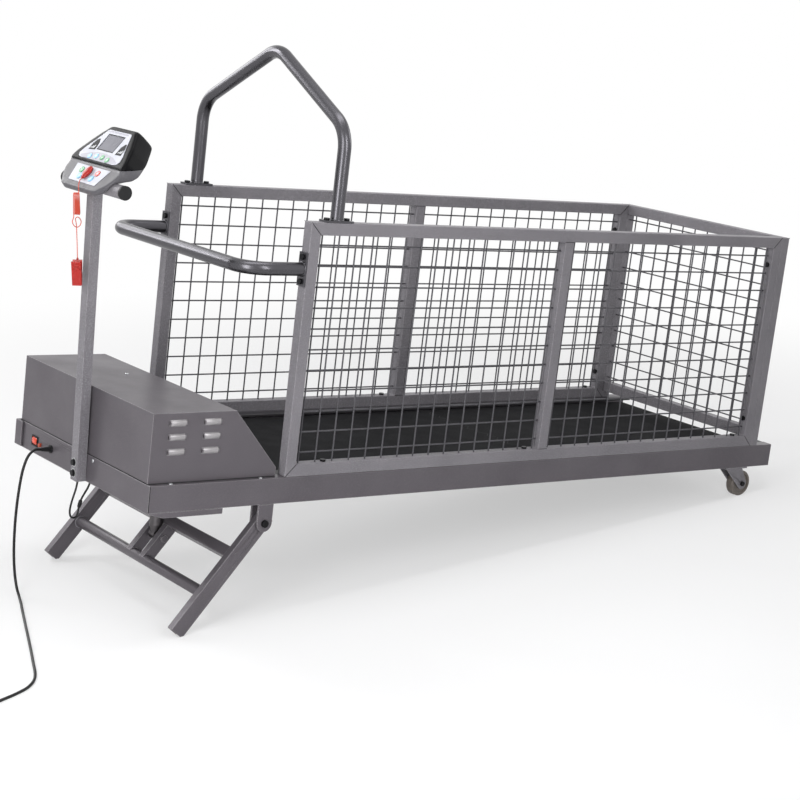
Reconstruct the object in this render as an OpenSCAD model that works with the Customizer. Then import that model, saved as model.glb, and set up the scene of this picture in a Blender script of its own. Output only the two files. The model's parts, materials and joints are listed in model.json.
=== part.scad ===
// Dog treadmill with a caged running deck, a motor hood, a console on a column and a powered incline frame.
// Lengths are in millimetres. The deck is drawn level, then tilted until legs and wheels stand on the floor.
// Deck axes: X runs from the rails' front ends to the rear, Y to the far side, Z is zero on the rails' top.

/* [Deck] */
// Length of the side rails
rail_l = 2100; // [1900:10:2400]
// Width over the side rails
deck_w = 656; // [610:2:720]
// Width of a side rail
rail_w = 33; // [30:1:40]
// Height of a side rail
rail_h = 64; // [62:1:90]
// Wall of the rectangular tubes
tube_wall = 2; // [1:0.5:3]
// Depth of the belt's top below the rails' top
belt_drop = 8; // [6:1:12]
// Gap between the running belt's edge and a rail's inner face
belt_side_gap = 37; // [32:1:60]
// Thickness of the running belt
belt_t = 2.5; // [1.5:0.5:3.5]
// Thickness of the deck board
board_t = 18; // [12:1:22]
// Radius of the rollers
roller_r = 22; // [20:0.5:23]
// Radius of the rollers' fixed axles
axle_r = 8; // [6:0.5:10]
// Front roller's place behind the rails' front ends
front_roller_x = 300; // [290:1:330]
// Rear roller's place ahead of the rails' rear ends
rear_roller_in = 50; // [40:1:70]
// Thickness of the foot strips
strip_t = 5; // [3:0.5:5.5]

/* [Cage] */
// Cage's place behind the rails' front ends
cage_x = 366; // [360:1:420]
// Length of a side panel
cage_l = 1640; // [1400:10:1660]
// Height of the cage
cage_h = 610; // [500:5:760]
// Width of the cage's square tube
cage_tube = 30; // [25:1:33]
// Gap under the rear panel's lower tube
rear_lift = 20; // [12:1:40]
// Distance between mesh wires
mesh_pitch = 50; // [40:1:70]
// Diameter of a mesh wire
wire_d = 4; // [3:0.5:6]

/* [Arch and handlebar] */
// Diameter of the bent round tube
bar_d = 32; // [25:1:34]
// Wall of the bent round tube
bar_wall = 2; // [1:0.5:3]
// Arch's place behind the cage's front
arch_in = 80; // [60:1:200]
// Height of the arch's shoulders above the cage
arch_shoulder = 216; // [150:1:280]
// Height of the arch's crown above the cage
arch_crown = 378; // [320:1:460]
// Bend radius of the arch
arch_bend_r = 80; // [50:1:100]
// Height of the handlebar above the rails
handlebar_z = 498; // [380:1:540]
// Reach of the handlebar ahead of the cage
handlebar_reach = 156; // [120:1:220]
// Bend radius of the handlebar
handlebar_bend_r = 60; // [45:1:90]
// Thickness of a mounting flange
flange_t = 5; // [3:0.5:8]
// Distance between a flange's bolts
flange_pitch = 58; // [50:1:70]

/* [Hood] */
// Length of the hood
hood_l = 348; // [340:1:356]
// Length of the hood's flat top
hood_top_l = 221; // [200:1:240]
// Height of the hood
hood_h = 165; // [160:1:200]
// Height of the hood's rear lip
hood_lip = 22; // [14:1:40]
// Width of the hood
hood_w = 627; // [620:1:640]
// Thickness of the sheet metal
sheet_t = 2; // [1:0.5:3]
// Depth of the motor tray below the rails
tray_drop = 14; // [10:1:24]
// Length of the motor tray
tray_l = 200; // [190:1:204]

/* [Incline frame] */
// Length of a lift leg from its pivot to its end
leg_l = 330; // [300:1:380]
// Depth of a lift leg's tube
leg_d = 40; // [34:1:42]
// Angle of the legs below the deck
leg_angle = 50.5; // [46:0.5:54]
// Leg pivot's place behind the rails' front ends
pivot_x = 322; // [316:1:330]
// Leg pivot's depth below the rails
pivot_drop = 47; // [44:1:60]
// Radius of the leg pivot bolt
pivot_r = 6; // [4:0.5:8]
// Thickness of a pivot bracket's plate
bracket_t = 6; // [4:0.5:7]
// Diameter of the lower cross tube
cross_d = 28; // [22:1:32]
// Width of the upper cross tube
cross_w = 28; // [22:1:30]
// Lower cross tube's distance from the pivot
cross_low = 216; // [205:1:250]
// Upper cross tube's distance from the pivot
cross_up = 103; // [90:1:106]
// Actuator pin's distance from the leg pivot
lug_pin_l = 148; // [145:1:152]
// Radius of the actuator's pins
act_pin_r = 6; // [4:0.5:7]
// Outer diameter of the actuator's moving tube
act_tube_d = 36; // [30:1:38]
// Length of the actuator's moving tube above its pin
act_tube_l = 190; // [170:1:200]

/* [Wheels] */
// Radius of a rear wheel
wheel_r = 37.5; // [30:0.5:42]
// Wheel axle's place ahead of the rails' rear ends
wheel_in = 103; // [90:1:140]
// Wheel axle's depth below the rails
wheel_drop = 50; // [46:1:60]
// Radius of a wheel axle
wheel_axle_r = 5; // [4:0.5:7]

/* [Column and console] */
// Width of the column across the deck
column_w = 30; // [26:1:40]
// Depth of the column along the deck
column_d = 25; // [20:1:30]
// Height of the column from its foot to the crossbar's middle
column_h = 705; // [640:1:780]
// Forward lean of the column against the deck
column_lean = 1.6; // [0:0.1:4]
// Column's place towards the near side
column_off = 22; // [10:1:34]
// Length of the crossbar
crossbar_l = 266; // [250:1:320]
// Tilt of the console's face against the column
face_tilt = 48.5; // [40:0.5:56]
// Width of the console
console_w = 248; // [236:1:260]
// Console's place towards the near side
console_off = 10; // [0:1:22]
// Width of the display
lcd_w = 70; // [60:1:74]
// Height of the display
lcd_h = 43; // [36:1:48]
// Radius of an upper key
key_r = 7; // [5:0.5:8]
// Radius of a lower key
pad_r = 8; // [6:0.5:9]
// Press depth of a key
key_travel = 0.8; // [0.4:0.1:1.2]

/* [Switch panel] */
// Width of the power switch
switch_w = 30; // [24:1:34]
// Height of the power switch
switch_h = 26; // [22:1:30]
// Radius of the reset button
reset_r = 5; // [3:0.5:6]
// Press depth of the reset button
reset_travel = 3; // [1:0.5:4]

/* [Cords] */
// Diameter of the power cord
cord_d = 7; // [5:0.5:8]
// Diameter of the signal cable
signal_d = 5; // [3:0.5:6]
// Diameter of the safety cord
lanyard_d = 2; // [1.5:0.5:2.5]

/* [Hidden] */

// Fits: curved faces that move, close fits, and the overrun of every cut
run_gap = 0.3;
fit_gap = 0.05;
cut_over = 1;
bolt_gap = 0.2;
weld_in = 0.3;
weld_slim = 0.03;

// Circle facets
fine = 64;
coarse = 32;
wire_sides = 14;

// Colours
coat = "#5d5b61";
coat_dark = "#3c3b40";
black = "#161618";
red = "#c8281e";

// Deck stack, from the belt down
belt_z = -belt_drop - belt_t;
roller_z = belt_z - roller_r - run_gap;
rear_roller_x = rail_l - rear_roller_in;
rail_in = deck_w / 2 - rail_w;
belt_w = 2 * (rail_in - belt_side_gap);
far_proud = 8;
board_margin = 8;
board_end_gap = 12;
cross_clear = 8;
cross_l = 40;
cross_h = 2 * (roller_r + run_gap) - board_t - cross_clear;
cross_shares = [0.08, 0.5, 0.92];
strip_side_gap = 4;
strip_under = 20;
strip_end = 5;

// Rollers
bearing_r = roller_r - 6;
bearing_l = 12;
drum_over = 4;
axle_in = 6;
pulley_r = 30;
pulley_l = 14;
pulley_gap = 4;

// Motor, its pulley and the drive belt
motor_x = 112;
motor_z = -20;
motor_r = 45;
motor_l = 170;
motor_gap = 14;
motor_foot_w = 60;
shaft_r = 6;
shaft_in = 30;
drive_pulley_r = 14;
drive_belt_t = 3;
drive_y = belt_w / 2 + drum_over + pulley_gap + pulley_l / 2;

// Control board
control_x = 38;
control_l = 120;
control_w = 180;
control_t = 2;
control_post = 8;
sink_h = 34;
sink_t = 4;
sink_pitch = 12;
sink_fins = 6;

// Cage
cage_y = deck_w / 2 - cage_tube / 2;
mid_x = cage_x + cage_l / 2;
rear_x = cage_x + cage_l;
bay_l = (cage_l - 3 * cage_tube) / 2;
mesh_h = cage_h - 2 * cage_tube;
wire_gap = 0.05;
vent_r = 3;
bar_r = bar_d / 2;
arch_x = cage_x + arch_in;
flange_end = 11;
flange_l = flange_pitch + 2 * flange_end;

// Fasteners
bolt_r = 4;
bolt_head_r = 7;
bolt_head_h = 5;
washer_r = 9;
washer_t = 1.5;
bolt_end = 8;

// Hood vents
vent_l = 45;
vent_cyl_r = 8;
vent_out = 5;
vent_x_shares = [0.19, 0.455];
vent_z_shares = [0.445, 0.655, 0.855];

// Incline frame
leg_gap = 0.5;
leg_w = rail_w - 2 * bracket_t - 2 * leg_gap;
leg_y = deck_w / 2 - rail_w / 2;
leg_over = 20;
leg_inner = leg_y - leg_w / 2;
pivot_z = -rail_h - pivot_drop;
bracket_r = 21;
pivot_head_r = 9;
pivot_head_h = 5;
foot_cut = 5;
lug_gap = 44;
lug_w = 18;
lug_h = 30;
leg_fold = 34;

// Actuator, upright between the bridge above and the leg frame's pin below
act_x = pivot_x - lug_pin_l * cos(leg_angle);
act_z = pivot_z - lug_pin_l * sin(leg_angle);
act_top_in = 92;
act_top_x = pivot_x - act_top_in;
act_top_z = 95;
act_len = norm([act_top_x - act_x, act_top_z - act_z]);
act_lean = atan2(act_top_x - act_x, act_top_z - act_z);
act_slack = 2.6;
act_swing_ratio = 0.33;
act_draw = 65.2;
gear_h = 56;
gear_w = 40;
gear_over = 18;
screw_r = 8;
screw_in = 20;
tube_eye_l = 26;
tube_end_l = 50;
tube_flat = 7.5;
tube_flat_low = 22;
tube_flat_top = 47;
bridge_x = 160;
bridge_w = 24;
bridge_h = 24;
bridge_inset = 5;
cheek_t = 6;
cheek_gap = 2;
cheek_r = 18;
lift_motor_r = 19;
lift_motor_l = 70;
act_y = 0;
slot_l = 32;
slot_w = act_tube_d + 12;
tray_ramp = 40;

// Rear wheels
fork_t = 3;
fork_gap = 0.5;
fork_r = 17;
fork_base_t = 4;
fork_base_l = 90;
fork_lead = 78;
fork_top_l = 68;
wheel_w = rail_w - 2 * fork_t - 2 * fork_gap;
wheel_x = rail_l - wheel_in;
wheel_z = -rail_h - wheel_drop;
wheel_crown = 3;
wheel_hub_r = 14;
wheel_dish = 3;
wheel_rim = 9;

// Tilt at which the legs' ends and the wheels reach one floor
tilt_m = -(wheel_x - pivot_x) - leg_l * cos(leg_angle) + leg_d / 2 * sin(leg_angle);
tilt_n = (wheel_z - pivot_z) + leg_l * sin(leg_angle) + leg_d / 2 * cos(leg_angle);
incline = 180 - asin((wheel_r + foot_cut) / norm([tilt_m, tilt_n])) - atan2(tilt_n, tilt_m);
lift_z = wheel_x * sin(incline) - wheel_z * cos(incline) + wheel_r;
leg_floor_angle = leg_angle - incline;
leg_floor_l = leg_l * sin(leg_floor_angle) + leg_d / 2 * cos(leg_floor_angle) - foot_cut;

// Column, crossbar and console
column_foot_z = -rail_h - sheet_t;
column_wall = 2;
column_bolt_shares = [0.027, 0.064];
column_bolt_l = column_d + 14;
crossbar_r = 16;
cap_t = 7;
cap_lip = 0.5;
cap_plug = 14;
face_x = 41;
face_z = 93.5;
face_step = 6;
skin_t = 1;
key_gap = 0.3;
key_well = 1;
key_proud = 1.4;
console_n = 58;
bay_recess = 0.6;

// Console profile: shares of the depth below the face, against places along the face
face_top = 45;
face_low = -136;
face_break = -59;
face_profile_shares = [[1, 0], [1.14, -0.1], [1.22, -0.4], [1.22, -0.8], [1.14, -1.02], [0.76, -1.03],
    [0.09, -0.99], [-0.5, -0.93], [-0.95, -0.85], [-1.3, -0.72], [-1.64, -0.5], [-1.95, -0.36],
    [-2.3, -0.33], [-2.67, -0.38], [-2.95, -0.35], [-3.04, -0.21], [-2.84, -0.07]];
// Console outline: shares of half the width, against places along the face
face_outline_shares = [[1.26, 0.28], [1.2, 0.4], [1.08, 0.48], [0.8, 0.56], [0, 0.78], [-0.9, 0.96],
    [-1.38, 1], [-1.9, 0.97], [-2.4, 0.86], [-2.8, 0.7], [-3.05, 0.5]];
// Overlay outlines in the same shares
upper_skin_shares = [[0.8, 0.4], [0.72, 0.44], [0, 0.58], [-0.6, 0.72], [-0.95, 0.76],
    [-1.15, 0.7], [-1.2, 0.6]];
lower_skin_shares = [[-1.5, 0.63], [-2.56, 0.5]];
upper_key_shares = [[-1.02, -0.33], [-0.94, -0.11], [-0.94, 0.11], [-1.02, 0.33]];
lower_key_shares = [[-1.84, -0.3], [-1.84, 0.3], [-2.22, -0.22], [-2.22, 0.22]];
safety_key_share = [-1.98, 0];
safety_key_l = 36;
safety_key_w = 22;
safety_key_t = 10;
safety_stem_r = 6;
safety_pull = 25;

// Switch panel on the front pan: shares of half the deck's width, and the depth below the rails' top
switch_share = 0.70;
reset_share = 0.615;
gland_share = 0.445;
switch_z = -34;
reset_z = -38;
gland_z = -34;
bezel_t = 2.5;
bezel_rim = 1.5;
switch_depth = 24;
rocker_r = 15;
rocker_proud = 1.5;
rocker_gap = 1.2;
trunnion_r = 1.5;
trunnion_l = 0.6;
reset_collar = 2.5;
reset_proud = 5;
gland_r = 6.5;
gland_tip_r = 4.6;
gland_flange_r = 10;
gland_flange_t = 3;
gland_l = 26;
gland_in = 8;

// Power cord: hand-set places from the gland to its coil on the floor, in the finished part's axes
power_route = [[-1077, 146, 357], [-1095, 145, 344], [-1109, 144, 316], [-1119, 142, 284], [-1130, 140, 234],
    [-1138, 140, 176], [-1143, 140, 112], [-1145, 136, 62], [-1147, 124, 26], [-1153, 98, 8], [-1165, 64, 4],
    [-1179, 30, 3.5], [-1212, -52, 3.5], [-1252, -152, 3.5], [-1297, -262, 3.5], [-1331, -340, 3.5],
    [-1365, -380, 3.5], [-1407, -400, 3.5], [-1449, -412, 3.5]];
cord_steps = 3;
loop_rings = 24;
coil_x = -1502;
coil_y = -385;
coil_r = 44;
coil_start = -68;
coil_turns = 3.25;
coil_low = 1.5;
coil_rise = 0.5;
coil_pitch = 8.6;
coil_tail = 30;
relief_tip_r = 4.5;
relief_r = 7;
relief_l = 18;
plug_l = 30;
plug_w = 30;
plug_round = 5;
blade_pitch = 12.7;
blade_t = 1.5;
blade_w = 6.5;
blade_l = 16;
blade_up = 4;
earth_r = 2.4;

// Signal cable: hand-set places from inside the column's foot to the tray, in the finished part's axes
signal_route = [[-1048, -22, 331], [-1050, -22, 318], [-1055, -21, 298], [-1063, -19, 275],
    [-1068, -17, 256], [-1069, -15, 242], [-1066, -13, 231], [-1059, -11, 225], [-1050, -9, 226],
    [-1044, -7, 234], [-1040, -6, 247], [-1033, -4, 263], [-1023, -3, 277], [-1014, -3, 289]];
signal_in_x = 29;
signal_in_y = -3;
signal_lead = 7;
signal_in_z = -rail_h - sheet_t - (tray_drop - sheet_t) * signal_in_x / tray_ramp;

// Safety cord: hand-set places in the finished part's axes, and below the hank in the hank's own axes
lanyard_route = [[-1021, -14, 1036], [-1029, -23, 1029], [-1035, -33, 1019]];
hank_x = -1040;
hank_y = -33;
hank_z = 986;
hank_turn = 52;
hank_l = 50;
hank_r = 6;
hank_turns = 5;
hank_pitch = lanyard_d + 0.6;
lanyard_steps = 3;
teardrop_route = [[-7, 7, -30], [-8, 10, -40], [-8, 7, -49], [-8, 0, -53], [-8, -7, -49], [-8, -10, -40],
    [-9, -7, -32], [-11, -2, -29], [-12, 2, -33], [-12, 1, -41], [-12, 0, -52], [-11, 0, -75],
    [-10, 0, -100], [-10, 0, -124]];
clip_top = 26;
clip_low = 32;
clip_handle = 9;
clip_gap = 4.4;
clip_t = 4;
clip_w = 22;
clip_lug_r = 4;
clip_pin_r = 1.5;
knob_r = 2.5;
knob_h = 4;

// Place of the finished part: floor at zero, box centred
front_bolt = from_column([-column_d - washer_t - bolt_head_h, 0,
    column_bolt_shares[0] * column_h - bolt_head_r]);
front_reach = front_bolt[0] * cos(incline) + front_bolt[2] * sin(incline);
rear_reach = (rear_x + cage_tube) * cos(incline) + cage_h * sin(incline);
shift_x = (front_reach + rear_reach) / 2;

function world(p) = [p[0] * cos(incline) + p[2] * sin(incline) - shift_x, p[1],
    p[2] * cos(incline) - p[0] * sin(incline) + lift_z];
function from_column(p) = [p[0] * cos(column_lean) - p[2] * sin(column_lean) - sheet_t, p[1] - column_off,
    p[0] * sin(column_lean) + p[2] * cos(column_lean) + column_foot_z];
function from_face(v, u, n) = from_column([
    -column_d / 2 + face_x + v * cos(face_tilt) - n * sin(face_tilt),
    u + column_off - console_off,
    column_h + face_z + v * sin(face_tilt) + n * cos(face_tilt)]);

echo(incline = incline, lift_z = lift_z, shift_x = shift_x);
echo(leg_pivot = world([pivot_x, 0, pivot_z]));
echo(act_top = world([act_top_x, act_y, act_top_z]), act_pin = world([act_x, act_y, act_z]));
echo(front_roller = world([front_roller_x, 0, roller_z]), rear_roller = world([rear_roller_x, 0, roller_z]));
echo(motor = world([motor_x, 0, motor_z]), wheel = world([wheel_x, 0, wheel_z]));
echo(face_normal = world(from_face(0, 0, 1)) - world(from_face(0, 0, 0)), face = world(from_face(0, 0, 0)));
echo(rocker = world([-sheet_t, switch_share * deck_w / 2, switch_z]));
echo(gland_tip = world([-sheet_t - gland_l, gland_share * deck_w / 2, gland_z]));
echo(safety_key = world(from_face(safety_key_share[0] * face_top, 0, -face_step + skin_t)));
echo(chin = world(from_face(face_low, 0, -face_step)));
echo(column_foot = world(from_column([-column_d / 2, 0, 0])));

// Moves deck axes to the finished part's axes
module deck() {
    translate([-shift_x, 0, lift_z]) rotate([0, incline, 0]) children();
}

// Both sides of the deck, the near one and its mirror image
module both_sides() {
    children();
    mirror([0, 1, 0]) children();
}

// Column axes: zero at the middle of the back face's lower edge
module on_column() {
    translate([-sheet_t, -column_off, column_foot_z]) rotate([0, -column_lean, 0]) children();
}

// Console face axes: X across the deck, Y up the face, Z out of the face
module on_face() {
    on_column()
        translate([-column_d / 2 + face_x, column_off - console_off, column_h + face_z])
            rotate([0, -face_tilt, 0]) rotate([0, 0, -90]) children();
}

// Leg axes: zero on the pivot, X down the leg
module on_leg() {
    translate([pivot_x, 0, pivot_z]) rotate([0, 180 - leg_angle, 0]) children();
}

// Actuator axes: zero on the upper pin, X down the actuator
module on_actuator() {
    translate([act_top_x, act_y, act_top_z]) rotate([0, 90 + act_lean, 0]) children();
}

// Cylinder along Y, centred
module rod_y(r, l) {
    rotate([90, 0, 0]) cylinder(r = r, h = l, center = true, $fn = fine);
}

// Flat outline with two round ends, l long over all
module stadium(l, w) {
    square([l - w, w], center = true);
    for (s = [-1, 1]) translate([s * (l - w) / 2, 0]) circle(d = w, $fn = coarse);
}

// Round tube along a flat path with round bends, whose straight runs reach a little into the bends' walls
function heading(a, b) = atan2(b[1] - a[1], b[0] - a[0]);
function turn_at(p, i) = let (t = heading(p[i], p[i + 1]) - heading(p[i - 1], p[i]))
    t > 180 ? t - 360 : t < -180 ? t + 360 : t;
function tangent_at(p, i, r) = r * tan(abs(turn_at(p, i)) / 2);
function run_out(p, i, r) = i == 0 || i == len(p) - 1 ? 0 : tangent_at(p, i, r) - weld_in;
module bent_tube(path, bend_r, r, wall) {
    for (i = [0 : len(path) - 2]) {
        x0 = run_out(path, i, bend_r);
        x1 = norm(path[i + 1] - path[i]) - run_out(path, i + 1, bend_r);
        translate(path[i]) rotate([0, 0, heading(path[i], path[i + 1])])
            translate([x0, 0, 0]) rotate([0, 90, 0]) linear_extrude(x1 - x0)
                ring(r - weld_slim, wall - 2 * weld_slim);
    }
    for (i = [1 : len(path) - 2]) {
        h = heading(path[i - 1], path[i]);
        s = sign(turn_at(path, i));
        start = path[i] - tangent_at(path, i, bend_r) * [cos(h), sin(h)];
        translate(start + s * bend_r * [-sin(h), cos(h)]) rotate([0, 0, h - 90 * s])
            rotate_extrude(angle = turn_at(path, i), $fn = fine) translate([bend_r, 0]) ring(r, wall);
    }
}
module ring(r, wall) {
    difference() {
        circle(r = r, $fn = fine);
        circle(r = r - wall, $fn = fine);
    }
}

// Bolt along Z, head above zero, shank below
module bolt(l, washer = 0) {
    translate([0, 0, washer]) cylinder(r = bolt_head_r, h = bolt_head_h, $fn = coarse);
    if (washer > 0) cylinder(r = washer_r, h = washer, $fn = coarse);
    translate([0, 0, -l]) cylinder(r = bolt_r, h = l, $fn = coarse);
}
module bolt_hole(l) {
    translate([0, 0, -l]) cylinder(r = bolt_r + bolt_gap, h = 2 * l, $fn = coarse);
}

// Places of the cage's bolts on the near side
module at_foot_bolts() {
    last = wire_count(bay_l) - 2;
    for (x = [cage_x + cage_tube + between_wires(bay_l, 1), cage_x + cage_tube + between_wires(bay_l, last),
            mid_x + cage_tube / 2 + between_wires(bay_l, last)])
        translate([x, -cage_y, cage_tube]) children();
}
module at_arch_bolts() {
    for (s = [-1, 1])
        translate([arch_x + s * flange_pitch / 2, -cage_y, cage_h + flange_t]) children();
}
module at_handlebar_bolts() {
    for (s = [-1, 1])
        translate([cage_x - flange_t, -cage_y, handlebar_z + s * flange_pitch / 2])
            rotate([0, -90, 0]) children();
}
module at_rear_bolts() {
    for (i = [0, wire_count(mesh_h) - 2])
        translate([rear_x - cage_tube, -cage_y, cage_tube + between_wires(mesh_h, i)])
            rotate([0, -90, 0]) children();
}
module at_column_bolts() {
    for (share = column_bolt_shares)
        on_column() translate([-column_d, 0, share * column_h]) rotate([0, -90, 0]) children();
}

// Side rails: closed rectangular tubes, the far one a little proud of the front pan
module rail(proud) {
    difference() {
        translate([-proud, -deck_w / 2, -rail_h]) cube([rail_l + proud, rail_w, rail_h]);
        translate([tube_wall - proud, tube_wall - deck_w / 2, tube_wall - rail_h])
            cube([rail_l + proud - 2 * tube_wall, rail_w - 2 * tube_wall, rail_h - 2 * tube_wall]);
        for (x = [front_roller_x, rear_roller_x])
            translate([x, -rail_in, roller_z]) rod_y(axle_r + fit_gap, 2 * (tube_wall + cut_over));
        at_foot_bolts() bolt_hole(cage_tube + 2 * tube_wall);
    }
}
module side_rails() {
    color(coat) deck() {
        rail(0);
        mirror([0, 1, 0]) rail(far_proud);
    }
}

// Flat tubes under the deck board
module cross_members() {
    span = rear_roller_x - front_roller_x;
    bore = [cross_l - 2 * tube_wall, 2 * (rail_in + cut_over), cross_h - 2 * tube_wall];
    color(coat_dark) deck()
        for (share = cross_shares)
            translate([front_roller_x + share * span, 0, belt_z - board_t - cross_h / 2]) difference() {
                cube([cross_l, 2 * rail_in, cross_h], center = true);
                cube(bore, center = true);
            }
}

// Folded sheet: front skirt, a tray that slopes down behind it, and the tray's side walls
module pan_side(top) {
    pan_h = rail_h + tray_drop;
    polygon(concat([[-sheet_t, -rail_h - sheet_t], [-sheet_t, -rail_h], [0, -rail_h]], top,
        [[tray_l, -pan_h], [tray_ramp, -pan_h]]));
}
module front_pan() {
    pan_h = rail_h + tray_drop;
    color(coat) deck() difference() {
        union() {
            translate([-sheet_t, -deck_w / 2, -rail_h - sheet_t])
                cube([sheet_t, deck_w - rail_w, rail_h + sheet_t]);
            rotate([90, 0, 0]) linear_extrude(deck_w, center = true)
                pan_side([[tray_ramp, sheet_t - pan_h], [tray_l, sheet_t - pan_h]]);
            both_sides() translate([0, (deck_w - sheet_t) / 2, 0]) rotate([90, 0, 0])
                linear_extrude(sheet_t, center = true) pan_side([[tray_l, -rail_h]]);
        }
        at_column_bolts() bolt_hole(column_bolt_l + cut_over);
        translate([-sheet_t / 2, switch_share * deck_w / 2, switch_z])
            cube([2 * sheet_t, switch_w - 2 * bezel_rim, switch_h - 2 * bezel_rim], center = true);
        translate([-sheet_t / 2, reset_share * deck_w / 2, reset_z]) rotate([0, 90, 0])
            cylinder(r = reset_r + run_gap, h = 2 * sheet_t, center = true, $fn = fine);
        translate([-sheet_t / 2, gland_share * deck_w / 2, gland_z]) rotate([0, 90, 0])
            cylinder(r = gland_r + fit_gap, h = 2 * sheet_t, center = true, $fn = fine);
        translate([tray_l - slot_l, act_y - slot_w / 2, -pan_h - cut_over])
            cube([slot_l + cut_over, slot_w, sheet_t + 2 * cut_over]);
        translate([signal_in_x, signal_in_y, -pan_h])
            cylinder(r = signal_d / 2 + run_gap, h = tray_drop, $fn = fine);
    }
}

// Low-friction board that carries the belt
module deck_board() {
    x0 = front_roller_x + roller_r + board_end_gap;
    x1 = rear_roller_x - roller_r - board_end_gap;
    color("#4a3d31") deck()
        translate([x0, -belt_w / 2 - board_margin, belt_z - board_t])
            cube([x1 - x0, belt_w + 2 * board_margin, board_t]);
}

// Strips beside the belt, on the rails' inner faces
module foot_strips() {
    y0 = belt_w / 2 + strip_side_gap;
    x0 = hood_l - strip_under;
    color(coat_dark) deck() both_sides()
        translate([x0, y0, -strip_t]) cube([rail_l - strip_end - x0, rail_in - y0, strip_t]);
}

// Belt loop round both rollers
module belt_side(r) {
    square([rear_roller_x - front_roller_x, 2 * r], center = true);
    for (s = [-1, 1]) translate([s * (rear_roller_x - front_roller_x) / 2, 0]) circle(r = r, $fn = fine);
}
module running_belt() {
    color(black) deck()
        translate([(front_roller_x + rear_roller_x) / 2, 0, roller_z]) rotate([90, 0, 0])
            linear_extrude(belt_w, center = true) difference() {
                belt_side(roller_r + run_gap + belt_t);
                belt_side(roller_r + run_gap);
            }
}

module at_rollers() {
    for (x = [front_roller_x, rear_roller_x]) translate([x, 0, roller_z]) children();
}
// Fixed axles with a bearing inside each end of the drums
module roller_axles() {
    color("silver") deck() at_rollers() {
        rod_y(axle_r, 2 * (rail_in + tube_wall + axle_in));
        both_sides() translate([0, (drum_l() - bearing_l) / 2, 0]) difference() {
            rod_y(bearing_r - fit_gap, bearing_l);
            rod_y(axle_r + fit_gap, bearing_l + cut_over);
        }
    }
}
function drum_l() = belt_w + 2 * drum_over;
module drum() {
    difference() {
        rod_y(roller_r, drum_l());
        rod_y(bearing_r, drum_l() + cut_over);
    }
}
module front_roller() {
    color("silver") deck() translate([front_roller_x, 0, roller_z]) {
        drum();
        translate([0, drive_y - pulley_gap / 2, 0]) difference() {
            rod_y(roller_r, pulley_l + pulley_gap);
            rod_y(bearing_r, pulley_l + pulley_gap + cut_over);
        }
        translate([0, drive_y, 0]) difference() {
            rod_y(pulley_r, pulley_l);
            rod_y(bearing_r, pulley_l + cut_over);
        }
    }
}
module rear_roller() {
    color("silver") deck() translate([rear_roller_x, 0, roller_z]) drum();
}

// Motor with its foot on the tray
module drive_motor() {
    y1 = drive_y - pulley_l / 2 - motor_gap;
    foot_h = rail_h + tray_drop - sheet_t + motor_z;
    color(black) deck() translate([motor_x, 0, motor_z]) difference() {
        union() {
            translate([0, y1 - motor_l / 2, 0]) rod_y(motor_r, motor_l);
            translate([-motor_foot_w / 2, y1 - motor_l, -foot_h]) cube([motor_foot_w, motor_l, foot_h]);
        }
        translate([0, y1, 0]) rod_y(shaft_r + fit_gap, 2 * shaft_in + cut_over);
    }
}
module motor_pulley() {
    y1 = drive_y - pulley_l / 2 - motor_gap;
    l = motor_gap + pulley_l + shaft_in;
    color("silver") deck() translate([motor_x, drive_y, motor_z]) {
        rod_y(drive_pulley_r, pulley_l);
        translate([0, (pulley_l - l) / 2, 0]) rod_y(shaft_r, l);
    }
}
module drive_side(over) {
    hull() {
        translate([motor_x, motor_z]) circle(r = drive_pulley_r + over, $fn = coarse);
        translate([front_roller_x, roller_z]) circle(r = pulley_r + over, $fn = coarse);
    }
}
module drive_belt() {
    color(black) deck() translate([0, drive_y, 0]) rotate([90, 0, 0])
        linear_extrude(pulley_l, center = true) difference() {
            drive_side(run_gap + drive_belt_t);
            drive_side(run_gap);
        }
}

// Circuit board on posts, with its heat sink
module control_board() {
    z0 = sheet_t - rail_h - tray_drop;
    color("#1f4d33") deck() translate([control_x, -control_w - rail_w, z0]) {
        translate([0, 0, control_post]) cube([control_l, control_w, control_t]);
        for (x = [control_post, control_l - control_post], y = [control_post, control_w - control_post])
            translate([x, y, 0]) cylinder(d = control_post, h = control_post, $fn = coarse);
        for (i = [0 : sink_fins - 1])
            translate([control_post + i * sink_pitch, control_w / 2, control_post + control_t])
                cube([sink_t, control_w / 2 - control_post, sink_h]);
    }
}

// Bridge over the rails that carries the actuator's upper pin
module lift_bridge() {
    half = hood_w / 2 - sheet_t - bridge_inset;
    y0 = gear_w / 2 + cheek_gap;
    color(coat_dark) deck() {
        difference() {
            translate([bridge_x, -half, 0]) cube([bridge_w, 2 * half, bridge_h]);
            translate([bridge_x + tube_wall, -half - cut_over, tube_wall])
                cube([bridge_w - 2 * tube_wall, 2 * (half + cut_over), bridge_h - 2 * tube_wall]);
        }
        for (s = [-1, 1])
            translate([0, act_y + s * (y0 + cheek_t / 2), 0]) rotate([90, 0, 0])
                linear_extrude(cheek_t, center = true) {
                    polygon([[bridge_x, 0], [bridge_x + bridge_w, 0], [act_top_x + cheek_r, act_top_z],
                        [act_top_x - cheek_r, act_top_z], [bridge_x, bridge_h]]);
                    translate([act_top_x, act_top_z]) circle(r = cheek_r, $fn = fine);
                }
        translate([act_top_x, act_y, act_top_z]) rod_y(act_pin_r, 2 * (y0 + cheek_t));
    }
}

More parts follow.
